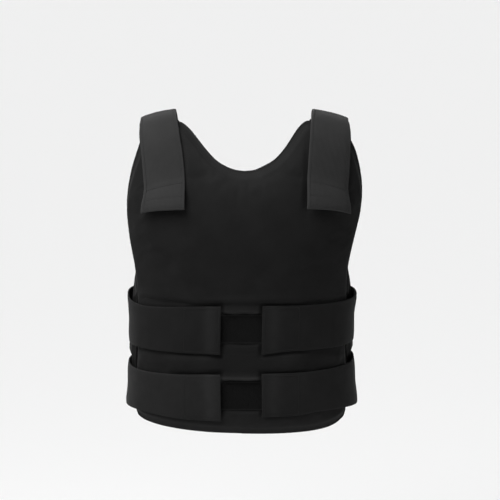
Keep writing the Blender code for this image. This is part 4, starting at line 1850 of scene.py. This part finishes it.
@dataclass
class Studio:
    """A plain pale floor, soft light from the upper left, and the camera at the photograph's angle."""

    camera_place: tuple[float, float, float] = (0.0107, -3.80, 0.515)
    pitch_deg: float = 11.13
    # 2317 px of focal length across a frame of 500 px, on a sensor 36 mm wide.
    focal_px: float = 2317.0
    frame_px: float = 500.0
    sensor_mm: float = 36.0
    floor_height: float = -1.00
    floor_radius: float = 60.0
    floor_sides: int = 96
    floor_colour: str = "#f5f5f5"
    # The surround is as pale as the floor up to the first height, and dims to the second; heights are
    # sines of the angle over the horizon.
    surround_pale: float = 0.87
    surround_dim: float = 0.10
    surround_band: tuple[float, float] = (0.08, 0.26)
    # Far soft lights, each with its strength and the way it comes from: one high up, which lights
    # the floor and the tops of the straps, and a weak one behind, which keeps the back readable.
    far_lights: tuple[tuple[str, float, tuple[float, float, float]], ...] = (
        ("high_light", 2.62, (-0.42, -0.17, 0.89)),
        ("back_light", 0.80, (-0.50, 0.85, 0.35)),
    )
    far_angle_deg: float = 45.0
    # The softbox, above and in front, a little to the wearer's right.
    box_power: float = 7.4
    box_size: float = 0.6
    box_place: tuple[float, float, float] = (-0.38, -0.60, 0.55)
    target: tuple[float, float, float] = (0.0, -0.08, -0.12)

    def build(self) -> None:
        """Makes the floor, the light and the camera."""
        self.floor()
        self.light()
        self.camera()
        scene = bpy.context.scene
        scene.view_settings.view_transform = "Standard"
        scene.view_settings.look = "None"

    def floor(self) -> None:
        """Lays the floor, a wide round sheet of pale paper."""
        bpy.ops.object.select_all(action="DESELECT")
        bpy.ops.mesh.primitive_circle_add(
            vertices=self.floor_sides,
            radius=self.floor_radius,
            fill_type="NGON",
            location=(0.0, 0.0, self.floor_height),
        )
        floor = bpy.context.active_object
        bpy.ops.object.transform_apply(location=True, rotation=True, scale=True)
        floor.name = "studio_floor"
        material = bpy.data.materials.new("matte_studio_paper")
        material.use_nodes = True
        shader = material.node_tree.nodes["Principled BSDF"]
        shader.inputs["Base Color"].default_value = linear(self.floor_colour)
        shader.inputs["Roughness"].default_value = 1.0
        shader.inputs["Specular IOR Level"].default_value = 0.0
        floor.data.materials.append(material)

    def light(self) -> None:
        """Sets a pale surround that dims overhead, the far lights and the softbox."""
        world = bpy.data.worlds.new("studio_surround")
        world.use_nodes = True
        towards = add_node(world, "ShaderNodeTexCoord", {}, {}).outputs["Generated"]
        height = add_node(world, "ShaderNodeSeparateXYZ", {}, {"Vector": towards}).outputs["Z"]
        start, end = self.surround_band
        inputs = {"Value": height, 1: start, 2: end, 3: self.surround_pale, 4: self.surround_dim}
        brightness = add_node(world, "ShaderNodeMapRange", {"interpolation_type": "SMOOTHSTEP"}, inputs)
        surround = world.node_tree.nodes["Background"]
        surround.inputs["Color"].default_value = (1.0, 1.0, 1.0, 1.0)
        world.node_tree.links.new(brightness.outputs["Result"], surround.inputs["Strength"])
        bpy.context.scene.world = world
        for name, strength, place in self.far_lights:
            far = bpy.data.lights.new(name, "SUN")
            far.energy = strength
            far.angle = math.radians(self.far_angle_deg)
            self.hang(far, place, (0.0, 0.0, 0.0))
        box = bpy.data.lights.new("softbox", "AREA")
        box.energy = self.box_power
        box.size = self.box_size
        self.hang(box, self.box_place, self.target)

    def hang(self, lamp: bpy.types.Light, place: tuple, target: tuple) -> None:
        """Hangs a lamp at a place, turned to its target.

        Args:
            lamp: The lamp.
            place: Where it hangs.
            target: What it points at.
        """
        hung = bpy.data.objects.new(lamp.name, lamp)
        hung.location = place
        towards = np.array(target) - np.array(place)
        flat = math.hypot(towards[0], towards[1])
        hung.rotation_euler = (math.atan2(flat, -towards[2]), 0.0, math.atan2(-towards[0], towards[1]))
        bpy.context.scene.collection.objects.link(hung)

    def camera(self) -> None:
        """Sets the camera."""
        data = bpy.data.cameras.new("photo_camera")
        data.sensor_width = self.sensor_mm
        data.lens = self.focal_px / self.frame_px * self.sensor_mm
        camera = bpy.data.objects.new("photo_camera", data)
        camera.location = self.camera_place
        camera.rotation_euler = (math.radians(90 - self.pitch_deg), 0.0, 0.0)
        bpy.context.scene.collection.objects.link(camera)
        bpy.context.scene.camera = camera


def front_carrier(form: TorsoForm) -> PaddedPanel:
    """Describes the front panel, with its seams level with the strap edges and its soft folds.

    Args:
        form: The torso that it lies on.

    Returns:
        The panel, not yet built.
    """
    return PaddedPanel(
        name="front_carrier",
        node="front_panel",
        surface=form.front,
        form=form,
        top=FRONT_TOP,
        side=FRONT_SIDE,
        hem=FRONT_HEM,
        tab_share=0.77,
        hem_share=0.955,
        seed=11,
        folds=(
            Fold((-0.175, -0.250), (-0.060, -0.190), 0.013, 0.0012),
            Fold((-0.180, -0.225), (-0.090, -0.150), 0.010, -0.0010),
            Fold((0.175, -0.255), (0.070, -0.200), 0.012, 0.0011),
            Fold((0.180, -0.215), (0.100, -0.160), 0.010, -0.0009),
            Fold((-0.165, -0.283), (-0.020, -0.279), 0.007, 0.0010),
            Fold((0.020, -0.282), (0.160, -0.286), 0.008, 0.0009),
            Fold((-0.060, -0.110), (-0.015, -0.170), 0.016, 0.0009),
            Fold((0.055, -0.115), (0.020, -0.180), 0.015, 0.0008),
            Fold((-0.215, -0.2910), (0.215, -0.2905), 0.0060, 0.0026),
            Fold((-0.230, -0.4005), (-0.030, -0.3980), 0.0095, 0.0032),
            Fold((0.030, -0.3980), (0.230, -0.3990), 0.0095, 0.0030),
        ),
        seams=(
            Seam(-0.2985, 0.185, 0.0022, 0.0020),
            Seam(-0.3815, 0.036, 0.0008, 0.0018),
            Seam(-0.4125, 0.036, 0.0008, 0.0018),
        ),
        # Each ledge's last value is the strength of the painted highlight along its step.
        ledges=(
            Ledge(-0.3020, -0.3135, 0.040, 0.0032, 0.22),
            Ledge(-0.4165, -0.4258, 0.040, 0.0042, 0.60),
        ),
        pressed=Pressed().front,
    )


def back_carrier(form: TorsoForm) -> PaddedPanel:
    """Describes the back panel, finished plainly, with a few soft folds over the small of the back.

    Args:
        form: The torso that it lies on.

    Returns:
        The panel, not yet built.
    """
    return PaddedPanel(
        name="back_carrier",
        node="back_panel",
        surface=form.back,
        form=form,
        top=BACK_TOP,
        side=BACK_SIDE,
        hem=BACK_HEM,
        tab_share=0.655,
        hem_share=0.955,
        seed=12,
        folds=(
            Fold((-0.150, -0.245), (-0.030, -0.225), 0.013, 0.0012),
            Fold((0.150, -0.240), (0.040, -0.215), 0.012, 0.0011),
            Fold((-0.090, -0.285), (0.090, -0.282), 0.009, 0.0010),
        ),
        bulges=(
            Bulge(-0.235, -0.399, 0.030, 0.012, 0.0042),
            Bulge(0.235, -0.397, 0.030, 0.012, 0.0042),
        ),
        pressed=Pressed().back,
    )


def clear_startup() -> None:
    """Removes the objects that a new Blender file starts with."""
    for name in ("Cube", "Light", "Camera"):
        started = bpy.data.objects.get(name)
        if started:
            bpy.data.objects.remove(started)


def main() -> None:
    """Builds every sub-assembly in order and reports it."""
    logging.basicConfig(level=logging.INFO, format="%(name)s: %(message)s")
    clear_startup()
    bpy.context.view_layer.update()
    form = TorsoForm()
    Studio().build()
    front_carrier(form).build()
    back_carrier(form).build()
    for band in WAIST_BANDS:
        node = f"loop_field_{band.label}"
        LoopTape(f"loop_tape_{band.label}", node, form, band.tape_bottom, band.tape_top).build()
    for number, side in enumerate(Side):
        for row, band in enumerate(WAIST_BANDS):
            WaistStrap(
                name=f"waist_elastic_{band.label}_{side.label}",
                node=f"waist_strap_{band.label}_{side.label}",
                form=form,
                side=side,
                edges=band.right if side is Side.RIGHT else band.left,
                flare_bottom=band.flare_bottom,
                flare_top=band.flare_top,
                end_lift=WAIST_END_LIFT[side],
                # The lower straps are painted lighter, painted light.
                painted_lightness=LOWER_PAINTED_LIGHT[side] if band.label == "lower" else 0.0,
                seed=40 + 10 * number + row,
            ).build()
        ShoulderStrap(
            name=f"shoulder_elastic_{side.label}",
            node=f"shoulder_strap_{side.label}",
            form=form,
            side=side,
            front_end=SHOULDER_END[side],
            seed=70 + number,
        ).build()


if __name__ == "__main__":
    main()
